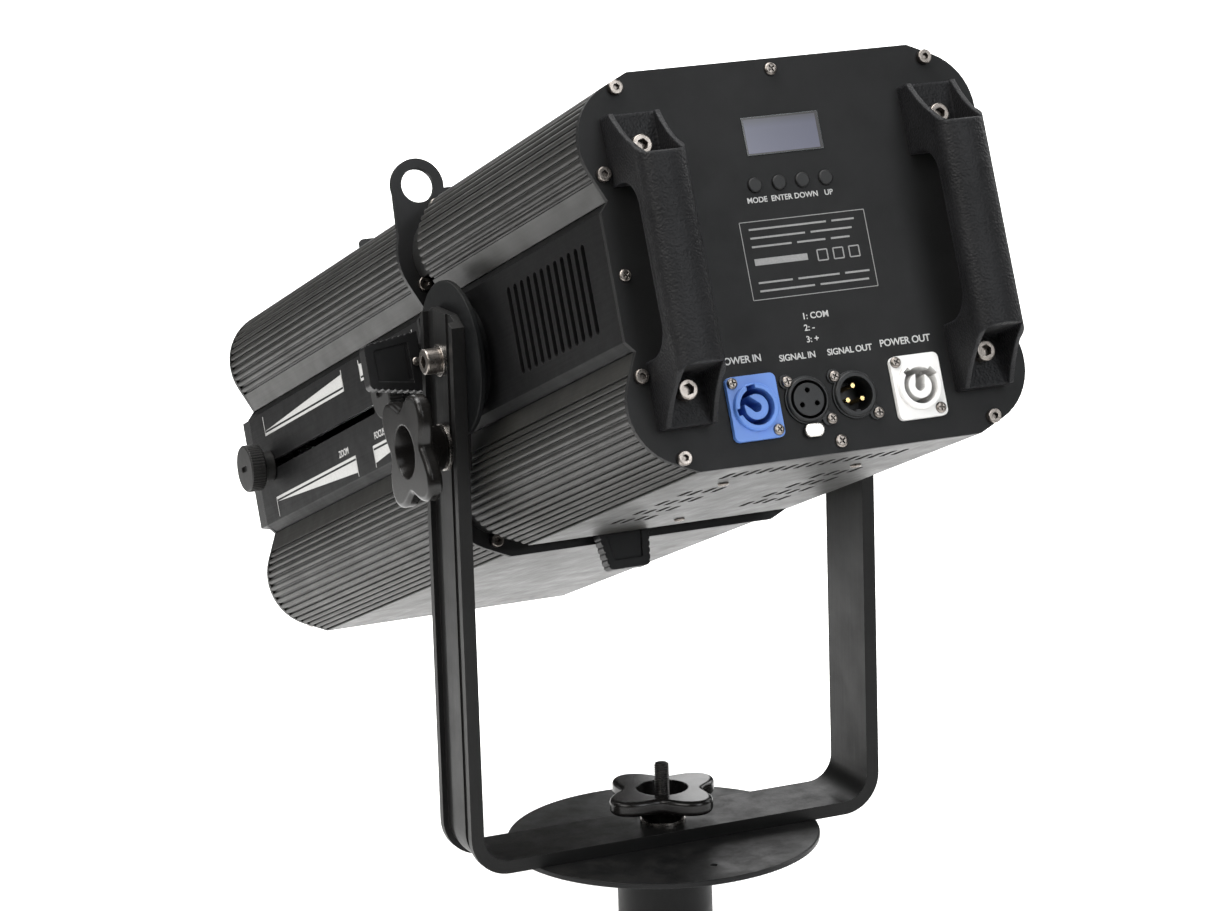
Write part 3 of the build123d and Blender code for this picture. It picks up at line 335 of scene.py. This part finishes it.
def plastic(name, base, rough=(0.34, 0.44), grain=0.9, grain_height=0.02, edge=0.5,
            specular=0.5, tone=0.25, wear_and_highlight=0.25, leather=False, worn_and_highlight=None, space="head"):
    """Moulded plastic; tone is the colour drift either way, leather a coarse pebbled skin; the edges lighten from wear
    and a painted highlight.
    """
    if max(base) < 0.1:
        base = scaled(base, BLACK_DEPTH)
        specular *= BLACK_DEPTH
    # Lighter edge colour: wear, and a painted highlight along the edges.
    worn_and_highlight = worn_and_highlight or tuple(min(1.0, c * 1.6 + 0.02) for c in base)
    s = Shader(name, space)
    normal, edge_mask = s.edges(edge)
    drift = s.noise(0.03, detail=3, rough=0.6)
    color = s.mix(s.rise(drift, 0.3, 0.7), scaled(base, 1 - tone), scaled(base, 1 + tone))
    # Lighter edges: worn plastic, and a painted highlight along the edges.
    edge_breakup = s.ramp(s.noise(0.4, detail=3, rough=0.7), (0.3, 0.2), (0.7, 1.0))
    edge_wear_and_highlight = s.times(s.rise(edge_mask, 0.03, 0.35), edge_breakup)
    color = s.mix(s.times(edge_wear_and_highlight, wear_and_highlight), color, worn_and_highlight)

    roughness = s.patchy_rough(0.06, rough)
    if leather:
        pebbles = s.voronoi(0.95, randomness=1.0, feature="SMOOTH_F1")
        normal = s.bump(pebbles, distance=0.30, strength=1.0, normal=normal)
        pores = s.noise(2.1, detail=2, rough=0.5)
        normal = s.bump(pores, distance=0.05, strength=0.9, normal=normal)
        roughness = s.math("ADD", roughness, s.swing(pebbles, middle=0.35, amount=0.18))
    else:
        fine = s.noise(grain, detail=3, rough=0.6)
        normal = s.bump(fine, distance=grain_height, strength=0.9, normal=normal)
    s.set(color=color, rough=roughness, normal=normal, specular=specular)


def metal(name, base, rough, grain=1.0, streak=None, edge=0.3, stain=0.45, recess=0.0,
          space="head"):
    """Bare or plated metal with fine marks, and edges lightened by polish and by a painted highlight.

    Stains scale the base colour by stain; recess is the reach in millimetres
    of the painted shade in hollows.
    """
    s = Shader(name, space)
    normal, edge_mask = s.edges(edge)
    marks = s.noise(grain, detail=4, rough=0.7, stretch=streak)
    stains = s.noise(0.22, detail=4, rough=0.7)
    color = s.mix(s.rise(stains, 0.35, 0.75), base, scaled(base, stain))
    # Lighter edges: polish, and a painted highlight along the edges.
    polished_and_highlight = tuple(min(1.0, c * 1.25) for c in base)
    color = s.mix(s.times(s.rise(edge_mask, 0.03, 0.3), 0.5), color, polished_and_highlight)
    # Painted shade: hollows, such as screw sockets, darkened by ambient occlusion.
    if recess:
        occlusion = s.node("ShaderNodeAmbientOcclusion", samples=4)
        occlusion.inputs["Distance"].default_value = recess * MM
        painted_hollow_shade = s.ramp(occlusion.outputs["AO"], (0.35, 1.0), (0.80, 0.0))
        color = s.mix(painted_hollow_shade, color, scaled(base, 0.05))
    s.set(color=color, rough=s.ramp(marks, (0.3, rough[0]), (0.7, rough[1])), metal=1.0,
          normal=s.bump(marks, distance=0.006, strength=0.7, normal=normal))


def lens_glass():
    s = Shader("lens")
    smears = s.noise(0.08, detail=4, rough=0.7)
    waves = s.noise(0.05, detail=2, rough=0.5)
    s.set(color=(0.93, 0.97, 0.96), rough=s.ramp(smears, (0.4, 0.01), (0.8, 0.06)),
          transmission=1.0, ior=1.5, normal=s.bump(waves, distance=0.01, strength=0.3))


def display():
    """Window with a dark border, a blue-grey active area, a soft vertical gradient and a painted highlight on its
    edges.
    """
    area_x = (-19.5, 18.6)              # active area in the head frame, mm
    area_z = (50.8, 67.4)
    gradient_base, gradient_height = 50.0, 18.5
    s = Shader("display")
    axes = s.node("ShaderNodeSeparateXYZ")
    s.link(s.coords, axes.inputs[0])
    x, z = axes.outputs[0], axes.outputs[2]
    active = s.times(s.within(x, *area_x), s.within(z, *area_z))
    gradient = s.ramp(s.swing(z, middle=gradient_base, amount=1 / gradient_height),
                      (0.0, (0.118, 0.121, 0.165)),
                      (0.7, (0.108, 0.111, 0.15)),
                      (1.0, (0.075, 0.075, 0.085)))
    color = s.mix(active, (0.045, 0.044, 0.045), gradient)
    cells = s.ramp(s.voronoi(2.0, randomness=0.0), (0.3, 1.0), (0.55, 0.9))
    color = s.mix(1.0, color, cells, blend="MULTIPLY")
    normal, edge_mask = s.edges(0.25)
    # Painted highlight: the window's edges lightened to a pale blue-grey.
    edge_wear_and_highlight = s.times(s.rise(edge_mask, 0.03, 0.3), 0.6)
    waves = s.noise(0.06, detail=2, rough=0.5)
    s.set(color=s.mix(edge_wear_and_highlight, color, (0.5, 0.6, 0.62)), rough=0.16, coat=0.6,
          coat_rough=0.05, normal=s.bump(waves, distance=0.01, strength=0.3, normal=normal))


def led_array():
    """Yellow dots in a regular grid on a pale board."""
    s = Shader("led")
    dots = s.voronoi(0.35, randomness=0.0)
    dot_mask = s.ramp(dots, (0.3, 1.0), (0.4, 0.0))
    s.set(color=s.mix(dot_mask, (0.75, 0.74, 0.7), (0.78, 0.56, 0.12)), rough=0.35, coat=0.5,
          normal=s.bump(dots, distance=0.05, strength=0.6))


def screen_print(name, brightness):
    """White screen print, slightly uneven."""
    s = Shader(name, "world")
    patches = s.noise(1.2, detail=4, rough=0.7)
    color = s.mix(s.rise(patches, 0.35, 0.7), scaled((0.60, 0.60, 0.59), brightness),
                  scaled((0.80, 0.80, 0.79), brightness))
    fine = s.noise(3.0, detail=2, rough=0.5)
    s.set(color=color, rough=s.ramp(patches, (0.3, 0.45), (0.7, 0.6)),
          normal=s.bump(fine, distance=0.01, strength=0.6))


def floor_sweep():
    """Pale sweep: it lights the object only from nearby, and fades to white far off."""
    fade_length = 5000                  # mm; the stops below are fractions of it
    s = Shader("floor", "world")
    tone = s.noise(0.002, detail=4, rough=0.6)
    length = s.node("ShaderNodeVectorMath", operation="LENGTH")
    s.link(s.coords, length.inputs[0])
    distance = s.times(length.outputs["Value"], 1 / fade_length)
    near = s.ramp(distance, (0.17, 1.0), (0.275, 0.05))
    far = s.ramp(distance, (0.25, 0.50), (0.55, 1.0))
    seen = s.node("ShaderNodeLightPath").outputs["Is Camera Ray"]
    color = s.mix(tone, (0.86, 0.86, 0.855), (0.9, 0.9, 0.9))
    unseen_color = s.mix(near, (0.05, 0.05, 0.05), color)
    seen_glow = s.times(seen, far)
    unseen_glow = s.times(s.math("SUBTRACT", 1.0, seen), s.times(near, 0.30))
    s.set(color=s.mix(seen, unseen_color, color), rough=0.55, specular=0.2,
          emission=(1.0, 0.995, 0.985),
          emission_strength=s.math("ADD", seen_glow, unseen_glow))


# ---------------------------------------------------------------- materials
ALONG_HEAD = (1.0, 0.012, 1.0)          # streaks along the head's Y axis
ALONG_YOKE = (1.0, 1.0, 0.015)          # streaks along the world's Z axis

# The worn colours below lighten the edges: wear, and a painted highlight.
coated("housing", base=(0.026, 0.0255, 0.0235), worn_and_highlight=(0.10, 0.097, 0.09), rough=(0.36, 0.47),
       grain_height=0.012, streak=ALONG_HEAD, edge=0.45, wear_and_highlight=0.35, specular=0.30)
coated("side", base=(0.0075, 0.0075, 0.008), worn_and_highlight=(0.07, 0.068, 0.063), rough=(0.40, 0.52),
       grain_height=0.012, streak=ALONG_HEAD, edge=0.45, wear_and_highlight=0.4, specular=0.13, dust=0.05)
coated("panel", base=(0.0105, 0.0107, 0.011), worn_and_highlight=(0.05, 0.05, 0.05), rough=(0.5, 0.62),
       grain=2.2, grain_height=0.03, wear_and_highlight=0.45, specular=0.34, dust=0.05)
coated("gate", base=(0.009, 0.009, 0.0095), worn_and_highlight=(0.06, 0.058, 0.055), rough=(0.4, 0.5),
       grain=2.0, grain_height=0.02, wear_and_highlight=0.4, specular=0.38, dust=0.08)
coated("spacer", base=(0.016, 0.016, 0.016), worn_and_highlight=(0.06, 0.06, 0.06), rough=(0.34, 0.46),
       grain=1.4, wear_and_highlight=0.3)
coated("yoke", base=(0.0125, 0.0125, 0.0125), worn_and_highlight=(0.085, 0.082, 0.077), rough=(0.36, 0.46),
       grain=1.8, grain_height=0.018, streak=ALONG_YOKE, specular=0.20, dust=0.05,
       space="world")
coated("disc", base=(0.007, 0.0075, 0.008), worn_and_highlight=(0.09, 0.088, 0.082), rough=(0.38, 0.48),
       grain=1.8, wear_and_highlight=0.4, specular=0.14)
coated("stand", base=(0.0125, 0.0128, 0.0132), worn_and_highlight=(0.07, 0.068, 0.064), rough=(0.38, 0.5),
       grain_height=0.02, edge=0.6, specular=0.22, space="world")
plastic("handle", base=(0.0125, 0.0125, 0.0135), worn_and_highlight=(0.055, 0.058, 0.068),
        rough=(0.42, 0.52), edge=2.2, leather=True, wear_and_highlight=0.35, specular=0.26)
plastic("knob", base=(0.0105, 0.0098, 0.0092), worn_and_highlight=(0.16, 0.152, 0.142), rough=(0.17, 0.25),
        grain=1.2, grain_height=0.012, edge=1.0, wear_and_highlight=0.35, specular=0.42, space="world")
plastic("knurl", base=(0.017, 0.0165, 0.016), rough=(0.4, 0.5), grain=1.5,
        grain_height=0.015, wear_and_highlight=0.3)
plastic("grip", base=(0.0085, 0.0085, 0.009), worn_and_highlight=(0.035, 0.035, 0.037), grain=1.0,
        grain_height=0.015, edge=0.7, wear_and_highlight=0.4, specular=0.34)
plastic("button", base=(0.0125, 0.0125, 0.0125), rough=(0.4, 0.5), edge=0.4)
# The screws' sockets get painted shade.
metal("stainless", base=(0.30, 0.27, 0.245), rough=(0.24, 0.38), grain=1.2, edge=0.35,
      recess=1.6)
metal("rod", base=(0.6, 0.6, 0.6), rough=(0.12, 0.2), streak=(1, 0.02, 1))
metal("washer", base=(0.66, 0.62, 0.58), rough=(0.2, 0.32), grain=1.4, space="world")
metal("black_steel", base=(0.06, 0.058, 0.056), rough=(0.34, 0.48), stain=0.6, space="world")
metal("blade", base=(0.42, 0.41, 0.4), rough=(0.22, 0.34), grain=0.7, streak=(0.05, 1, 1),
      stain=0.6)
coated("frame_steel", base=(0.014, 0.014, 0.014), worn_and_highlight=(0.08, 0.08, 0.08), rough=(0.4, 0.5))
metal("zinc", base=(0.74, 0.71, 0.66), rough=(0.22, 0.34))
metal("gold", base=(0.86, 0.62, 0.28), rough=(0.14, 0.24), stain=0.7)
metal("alu", base=(0.56, 0.56, 0.57), rough=(0.3, 0.42), grain=0.8, streak=(1, 0.05, 1),
      stain=0.7)
plastic("blue", base=(0.100, 0.225, 0.60), worn_and_highlight=(0.2, 0.33, 0.68), grain=1.4,
        grain_height=0.012, tone=0.08, wear_and_highlight=0.35)
plastic("white", base=(0.80, 0.79, 0.775), worn_and_highlight=(0.78, 0.79, 0.78), grain=1.4,
        grain_height=0.012, tone=0.05, wear_and_highlight=0.3)
plastic("socket", base=(0.012, 0.0125, 0.013), worn_and_highlight=(0.04, 0.04, 0.042), rough=(0.36, 0.46),
        grain=1.8, grain_height=0.015, wear_and_highlight=0.4)
plastic("board", base=(0.012, 0.075, 0.03), rough=(0.3, 0.4), grain=0.8, edge=0.3)
plastic("fan", base=(0.014, 0.014, 0.015), rough=(0.32, 0.42), grain=0.8, edge=0.4)
lens_glass()
display()
led_array()
screen_print("print", brightness=0.68)
floor_sweep()
screen_print("print_dim", brightness=0.36)

# Material of every CAD piece.
PIECES = {
    "housing": ["front_shell_upper", "front_shell_lower", "rear_shell_upper",
                "rear_shell_lower"],
    "side": ["rear_side_panels", "front_side_panels"],
    "panel": ["rear_panel"],
    "gate": ["gate_plate", "front_plate", "colour_frame_holder", "light_bulkhead",
             "shutter_guides", "light_hood"],
    "spacer": ["corner_spacers"],
    "yoke": ["yoke"],
    "disc": ["pivot_discs"],
    "stand": ["stand_plate", "stand_socket_tube"],
    "handle": ["handles"],
    "knob": ["pan_knob", "tilt_lock_knob"],
    "knurl": ["zoom_knob", "focus_knob"],
    "grip": ["shutter_grip_left", "shutter_grip_right", "shutter_grip_top",
             "shutter_grip_bottom"],
    "button": ["button_mode", "button_enter", "button_down", "button_up"],
    "stainless": ["cap_screws", "cross_screws"],
    "rod": ["guide_rods"],
    "washer": ["washers"],
    "black_steel": ["stand_stud", "tilt_clamp_plate"],
    "blade": ["shutter_blade_left", "shutter_blade_right", "shutter_blade_top",
              "shutter_blade_bottom"],
    "frame_steel": ["colour_frame"],
    "zinc": ["signal_latch"],
    "gold": ["signal_pins"],
    "alu": ["heatsink", "zoom_carriage", "focus_carriage", "power_supply"],
    "blue": ["power_in_socket"],
    "white": ["power_out_socket"],
    "socket": ["signal_in_socket", "signal_out_socket"],
    "board": ["control_board"],
    "fan": ["fan_frame", "fan_rotor"],
    "lens": ["zoom_lens", "focus_lens", "condenser_lens"],
    "display": ["display_window"],
    "led": ["led_board"],
}
for material_name, piece_names in PIECES.items():
    for piece_name in piece_names:
        slots = NODES[piece_name].data.materials
        slots.clear()
        slots.append(MATERIALS[material_name])


# ---------------------------------------------------------------- mesh helpers
def new_object(name, bm, material, world=None, smooth_angle=None):
    """Turn a bmesh into an object; edges flatter than smooth_angle (degrees) shade smooth."""
    bmesh.ops.recalc_face_normals(bm, faces=bm.faces)
    if smooth_angle is not None:
        limit = math.radians(smooth_angle)
        for edge in bm.edges:
            edge.smooth = len(edge.link_faces) == 2 and edge.calc_face_angle(0) < limit
        for face in bm.faces:
            face.smooth = True
    mesh = bpy.data.meshes.new(name)
    bm.to_mesh(mesh)
    bm.free()
    mesh.materials.append(MATERIALS[material])
    obj = bpy.data.objects.new(name, mesh)
    bpy.context.scene.collection.objects.link(obj)
    if world is not None:
        obj.matrix_world = world
    return obj


def add_slab(bm, points, normal, thickness):
    """Closed slab: a polygon pulled along its normal."""
    low = [bm.verts.new(p) for p in points]
    high = [bm.verts.new(p + normal * thickness) for p in points]
    bm.faces.new(low)
    bm.faces.new(list(reversed(high)))
    for i in range(len(points)):
        j = (i + 1) % len(points)
        bm.faces.new((low[i], high[i], high[j], low[j]))


def skin_rings(bm, rings):
    """Join equal rings of vertices and close the first one."""
    for lower, upper in zip(rings, rings[1:]):
        for i in range(len(lower)):
            j = (i + 1) % len(lower)
            bm.faces.new((lower[i], lower[j], upper[j], upper[i]))
    bm.faces.new(list(reversed(rings[0])))


# ---------------------------------------------------------------- print (head frame)
UP = Vector((0, 0, 1))
REAR_NORMAL = Vector((0, -1, 0))
SIDE_NORMAL = Vector((-1, 0, 0))
REAR_RIGHT = Vector((1, 0, 0))          # reading direction on the rear panel
SIDE_RIGHT = Vector((0, -1, 0))         # reading direction on the -X side panel
PRINT_GAP = 0.005 * MM                  # clearance between print and panel
PRINT_THICKNESS = 0.04 * MM
REAR_PRINT_Y = -193 * MM - PRINT_GAP
SIDE_PRINT_X = -100.5 * MM - PRINT_GAP


def rear_point(x, z):
    """Point on the rear panel from millimetres."""
    return Vector((x * MM, REAR_PRINT_Y, z * MM))


def side_point(y, z):
    """Point on the -X side panel from millimetres."""
    return Vector((SIDE_PRINT_X, y * MM, z * MM))


def print_line(bm, start, end, width, normal):
    """Flat printed line; the width is in millimetres."""
    half = normal.cross((end - start).normalized()) * (width * MM / 2)
    corners = [start + half, end + half, end - half, start - half]
    add_slab(bm, corners, normal, PRINT_THICKNESS)


def print_box(bm, x0, z0, x1, z1, width):
    """Printed outline of a rectangle on the rear panel."""
    corners = [rear_point(x, z) for x, z in ((x0, z0), (x1, z0), (x1, z1), (x0, z1))]
    for start, end in zip(corners, corners[1:] + corners[:1]):
        print_line(bm, start, end, width, REAR_NORMAL)


def print_text(name, body, height, place, right, align="CENTER", spacing=1.0):
    """Printed text of the given font size (mm), converted to a mesh."""
    size = height * MM
    normal = right.cross(UP)
    curve = bpy.data.curves.new(name, "FONT")
    curve.body = body
    curve.align_x = align
    curve.align_y = "CENTER"
    curve.extrude = 0.03 * MM / size
    curve.offset = 0.017                # thickens the strokes, in font sizes
    curve.space_character = spacing
    curve.resolution_u = 4
    source = bpy.data.objects.new(name, curve)
    bpy.context.scene.collection.objects.link(source)
    local = Matrix((right, UP, normal)).transposed().to_4x4()
    local.translation = place + normal * (PRINT_THICKNESS / 2)
    source.matrix_world = HEAD_FRAME @ local
    bpy.context.view_layer.update()
    depsgraph = bpy.context.evaluated_depsgraph_get()
    mesh = bpy.data.meshes.new_from_object(source.evaluated_get(depsgraph))
    mesh.transform(Matrix.Scale(size, 4))
    # The source still holds the name here, so the mesh object gets the suffix .001.
    obj = bpy.data.objects.new(name, mesh)
    obj.matrix_world = source.matrix_world.copy()
    bpy.data.objects.remove(source)
    bpy.context.scene.collection.objects.link(obj)
    mesh.materials.clear()
    mesh.materials.append(MATERIALS["print"])
    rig.ride(obj, "head")


def rear_text():
    for body, x in (("MODE", -19.6), ("ENTER", -6.6), ("DOWN", 6.4), ("UP", 18.4)):
        print_text("print_" + body.lower(), body, 3.75, rear_point(x, 28.4), REAR_RIGHT)
    # name, text, x, z, font size
    for name, body, x, z, height in (
            ("pin", "POWER IN", -44.0, -46.5, 4.8),
            ("sin", "SIGNAL IN", -14.2, -48.2, 4.3),
            ("sout", "SIGNAL OUT", 13.6, -48.2, 4.3),
            ("pout", "POWER OUT", 43.5, -47.2, 4.8)):
        print_text("print_" + name, body, height, rear_point(x, z), REAR_RIGHT, spacing=0.95)
    first_row, row_pitch = -29.6, 5.6
    for i, body in enumerate(("1: COM", "2: -", "3: +")):
        place = rear_point(-8.0, first_row - row_pitch * i)
        print_text("print_pin%d" % (i + 1), body, 4.3, place, REAR_RIGHT, align="LEFT")


def rear_label():
    """Boxed label: rows of thin bars, and a middle row with a thick bar and three squares."""
    left = -27
    middle_z = -1.2
    square_half = 2.6
    # z of the row, then start and end x of each bar
    rows = (
        (14.6, ((left, 14), (17, 29))),
        (10.4, ((left, 2), (5, 27))),
        (6.2, ((left, -6), (-3, 12), (15, 25))),
        (-11.2, ((left, -9), (-6, 16), (19, 32))),
        (-15.2, ((left, 2), (5, 31))),
    )
    bm = bmesh.new()
    print_box(bm, -31.3, -19.2, 35.0, 18.4, width=0.38)
    for z, bars in rows:
        for start, end in bars:
            print_line(bm, rear_point(start, z), rear_point(end, z), 0.9, REAR_NORMAL)
    print_line(bm, rear_point(left, middle_z), rear_point(1, middle_z), 3.2, REAR_NORMAL)
    for x in (9.0, 17.5, 26.0):
        print_box(bm, x - square_half, middle_z - square_half,
                  x + square_half, middle_z + square_half, width=0.6)
    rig.ride(new_object("print_label", bm, "print_dim", HEAD_FRAME), "head")


def print_wedge(bm, thin_y, thick_y, base_z, side):
    """Wedge scale: a line, a wedge beyond it and an upright at each end.

    The wedge grows from thin_y to thick_y; side is +1 to rise from the line, -1 to hang.
    """
    line_width = 1.5
    wedge_z = base_z + side * 1.9
    wedge_height = 6.8
    upright_z = base_z - side * line_width / 2
    print_line(bm, side_point(thin_y, base_z), side_point(thick_y, base_z), line_width,
               SIDE_NORMAL)
    corners = [side_point(thin_y, wedge_z), side_point(thick_y, wedge_z),
               side_point(thick_y, wedge_z + side * wedge_height)]
    add_slab(bm, corners, SIDE_NORMAL, PRINT_THICKNESS)
    for y, height in ((thin_y, 10.5), (thick_y, wedge_height + 4.2)):
        print_line(bm, side_point(y, upright_z), side_point(y, base_z + side * height), 0.7,
                   SIDE_NORMAL)


def side_scales():
    bm = bmesh.new()
    for thin_y, thick_y in ((326, 187), (72, 158)):
        for base_z, side in ((18.2, 1), (-19.0, -1)):
            print_wedge(bm, thin_y, thick_y, base_z, side)
    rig.ride(new_object("print_scales", bm, "print", HEAD_FRAME), "head")
    for body, y in (("ZOOM", 204), ("FOCUS", 145)):
        print_text("print_" + body.lower(), body, 5.2, side_point(y, -13.9), SIDE_RIGHT)


rear_text()
# Nothing in this script draws random numbers; this only fixes Python's shared generator.
random.seed(7)
rear_label()
side_scales()


# ---------------------------------------------------------------- threaded stud
def stand_stud():
    """Upright stud with a plain shank and a helical thread, as one closed surface."""
    segments = 48
    steps_per_pitch = 8
    pitch = 1.25 * MM
    radius = 3.98 * MM
    groove_depth = 0.62 * MM
    shank = 19 * MM                     # plain length at the bottom
    run_in = 1.5 * MM                   # length over which the thread deepens
    tip_length = 1.0 * MM
    tip_inset = 0.9 * MM
    crest, flank = 0.10, 0.28           # half crest and flank widths, in pitches

    low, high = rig.box("stand_stud")
    bottom, top = low.z, high.z
    rows = int((top - bottom) / (pitch / steps_per_pitch))
    bm = bmesh.new()
    rings = []
    for i in range(rows + 1):
        z = bottom + (top - bottom) * i / rows
        fade = min(1.0, max(0.0, (z - bottom - shank) / run_in))
        tip = max(0.0, (z - (top - tip_length)) / tip_length) * tip_inset
        ring = []
        for j in range(segments):
            angle = 2 * math.pi * j / segments
            phase = ((z - bottom) / pitch - j / segments) % 1.0
            groove = max(0.0, min(1.0, (abs(phase - 0.5) - crest) / flank))
            r = radius - groove_depth * groove * fade - tip
            ring.append(bm.verts.new((r * math.cos(angle), r * math.sin(angle), z)))
        rings.append(ring)
    skin_rings(bm, rings)
    bm.faces.new(rings[-1])
    stud = new_object("stand_stud_thread", bm, "black_steel", smooth_angle=50)
    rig.ride(stud, "stand")
    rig.replaces(stud, "stand_stud")
    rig.slot(stud, "black_steel")


stand_stud()


# ---------------------------------------------------------------- shutter grip screws
SCREW_RADIUS = 2.3 * MM
SCREW_HEIGHT = 1.2 * MM
SCREW_SEGMENTS = 32
# Rings of the screw head: radius and height as fractions of the two above.
SCREW_PROFILE = ((1, 0.0), (1, 0.35), (0.93, 0.7), (0.75, 0.93), (0.55, 1))
# Shutter: angle about the head's Y axis, then the screw's x and z before that turn (mm).
GRIP_SCREWS = {
    "left": (0, -113.0, 7.0),
    "bottom": (-90, -87.0, 16.0),
    "right": (180, -113.0, 7.0),
    "top": (90, -91.0, 16.0),
}
GRIP_SCREW_Y = 41.0


def add_cross_screw(bm, place):
    """Closed pan head along +Z with a tapered cross cut, placed by a matrix."""
    def ring(points, z):
        return [bm.verts.new(place @ Vector((x, y, z))) for x, y in points]

    rings = []
    for radius_part, height_part in SCREW_PROFILE:
        r = SCREW_RADIUS * radius_part
        angles = [2 * math.pi * i / SCREW_SEGMENTS for i in range(SCREW_SEGMENTS)]
        circle = [(r * math.cos(a), r * math.sin(a)) for a in angles]
        rings.append(ring(circle, SCREW_HEIGHT * height_part))
    skin_rings(bm, rings)

    half_width = SCREW_RADIUS * 0.11
    arm = SCREW_RADIUS * 0.5
    depth = SCREW_HEIGHT * 0.6
    taper = 0.7
    cross = []
    for quarter in range(4):
        c = math.cos(quarter * math.pi / 2)
        s = math.sin(quarter * math.pi / 2)
        for x, y in ((arm, -half_width), (arm, half_width), (half_width, half_width)):
            cross.append((x * c - y * s, x * s + y * c))
    top = ring(cross, SCREW_HEIGHT)
    bottom = ring([(x * taper, y * taper) for x, y in cross], SCREW_HEIGHT - depth)
    for i in range(len(cross)):
        j = (i + 1) % len(cross)
        bm.faces.new((top[j], top[i], bottom[i], bottom[j]))
    bm.faces.new(bottom)
    rims = [bm.edges.get((loop[i], loop[(i + 1) % len(loop)]))
            for loop in (rings[-1], top) for i in range(len(loop))]
    bmesh.ops.bridge_loops(bm, edges=rims)


for shutter, (angle, x, z) in GRIP_SCREWS.items():
    bm = bmesh.new()
    around = Matrix.Rotation(math.radians(angle), 4, "Y")
    offset = Matrix.Translation((x * MM, GRIP_SCREW_Y * MM, z * MM))
    face_rear = Matrix.Rotation(math.radians(90), 4, "X")
    turn_cross = Matrix.Rotation(math.radians(25), 4, "Z")
    add_cross_screw(bm, around @ offset @ face_rear @ turn_cross)
    screw = new_object("grip_screw_" + shutter, bm, "stainless", HEAD_FRAME, smooth_angle=40)
    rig.ride(screw, "shutter_" + shutter)
    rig.slot(screw, "stainless")


# ---------------------------------------------------------------- stage
bm = bmesh.new()
bmesh.ops.create_circle(bm, cap_ends=True, radius=14.0, segments=96)
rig.stage(new_object("studio_floor", bm, "floor"))

# name, location, target, side (m), power (W), colour
WHITE = (1, 1, 1)
LIGHTS = (
    ("key_left", (-2.2, -1.1, 2.2), (0, 0, 0.35), 1.9, 50, (1.0, 0.985, 0.955)),
    ("over_left", (-1.2, 0.6, 3.0), (0, 0, 0.3), 1.8, 95, (1.0, 0.99, 0.965)),
    ("top_soft", (0.2, 0.6, 3.2), (0, 0, 0.3), 2.2, 95, WHITE),
    ("top_front", (0.5, 3.2, 3.0), (0, 0, 0.3), 2.4, 12, WHITE),
    ("rear_soft", (0.8, -3.2, 1.9), (0, 0, 0.35), 1.5, 46, (0.95, 0.975, 1.0)),
    ("rear_high", (0.2, -2.2, 3.4), (0, 0, 0.35), 2.0, 34, (0.96, 0.98, 1.0)),
    ("right_fill", (2.9, 0.7, 1.7), (0, 0.05, 0.3), 2.0, 62, WHITE),
    ("front_fill", (0.9, 3.4, 1.5), (0, 0.1, 0.3), 2.0, 36, WHITE),
    ("low_left_front", (-2.2, 3.0, 1.0), (0, 0.1, 0.3), 1.4, 6, WHITE),
)
KEY_HEIGHT = 1.5                        # the key light alone is a rectangle
for name, location, target, side, power, color in LIGHTS:
    light = bpy.data.lights.new(name, "AREA")
    light.energy = power
    light.color = color
    light.size = side
    if name == "key_left":
        light.shape = "RECTANGLE"
        light.size_y = KEY_HEIGHT
    lamp = bpy.data.objects.new(name, light)
    lamp.location = location
    aim = Vector(target) - Vector(location)
    lamp.rotation_euler = aim.to_track_quat("-Z", "Y").to_euler()
    bpy.context.scene.collection.objects.link(lamp)


def studio_world(fill, backdrop):
    """White world: backdrop strength as the camera sees it, fill strength as light."""
    world = bpy.data.worlds.new("studio_world")
    world.use_nodes = True
    tree = world.node_tree
    background = tree.nodes["Background"]
    background.inputs["Color"].default_value = (1, 1, 1, 1)
    light_path = tree.nodes.new("ShaderNodeLightPath")
    strength = tree.nodes.new("ShaderNodeMapRange")
    strength.inputs["To Min"].default_value = fill
    strength.inputs["To Max"].default_value = backdrop
    tree.links.new(light_path.outputs["Is Camera Ray"], strength.inputs["Value"])
    tree.links.new(strength.outputs["Result"], background.inputs["Strength"])
    bpy.context.scene.world = world


studio_world(fill=0.05, backdrop=1.0)

# Camera axes in the world, and its place.
CAMERA_RIGHT = (0.9087066, -0.4163202, -0.0304915)
CAMERA_UP = (0.1237081, 0.1988147, 0.9721980)
CAMERA_BACK = (-0.3986836, -0.8872148, 0.2321664)
CAMERA_PLACE = (-0.933119, -2.019177, 0.467422 + PIVOT_HEIGHT)
camera_data = bpy.data.cameras.new("camera")
camera_data.lens = 130.93
camera_data.sensor_width = 36.0
camera_data.clip_start = 0.05
camera_data.clip_end = 60
camera = bpy.data.objects.new("camera", camera_data)
pose = Matrix((CAMERA_RIGHT, CAMERA_UP, CAMERA_BACK)).transposed().to_4x4()
pose.translation = CAMERA_PLACE
camera.matrix_world = pose
bpy.context.scene.collection.objects.link(camera)
bpy.context.scene.camera = camera
bpy.context.scene.view_settings.view_transform = "Standard"

# ---------------------------------------------------------------- sizes
VISUAL_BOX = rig.bounds()
try:
    with open("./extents.json", "w") as f:
        json.dump({"cad_box": [list(v) for v in CAD_BOX],
                   "visual_box": [list(v) for v in VISUAL_BOX]}, f)
except OSError:
    pass
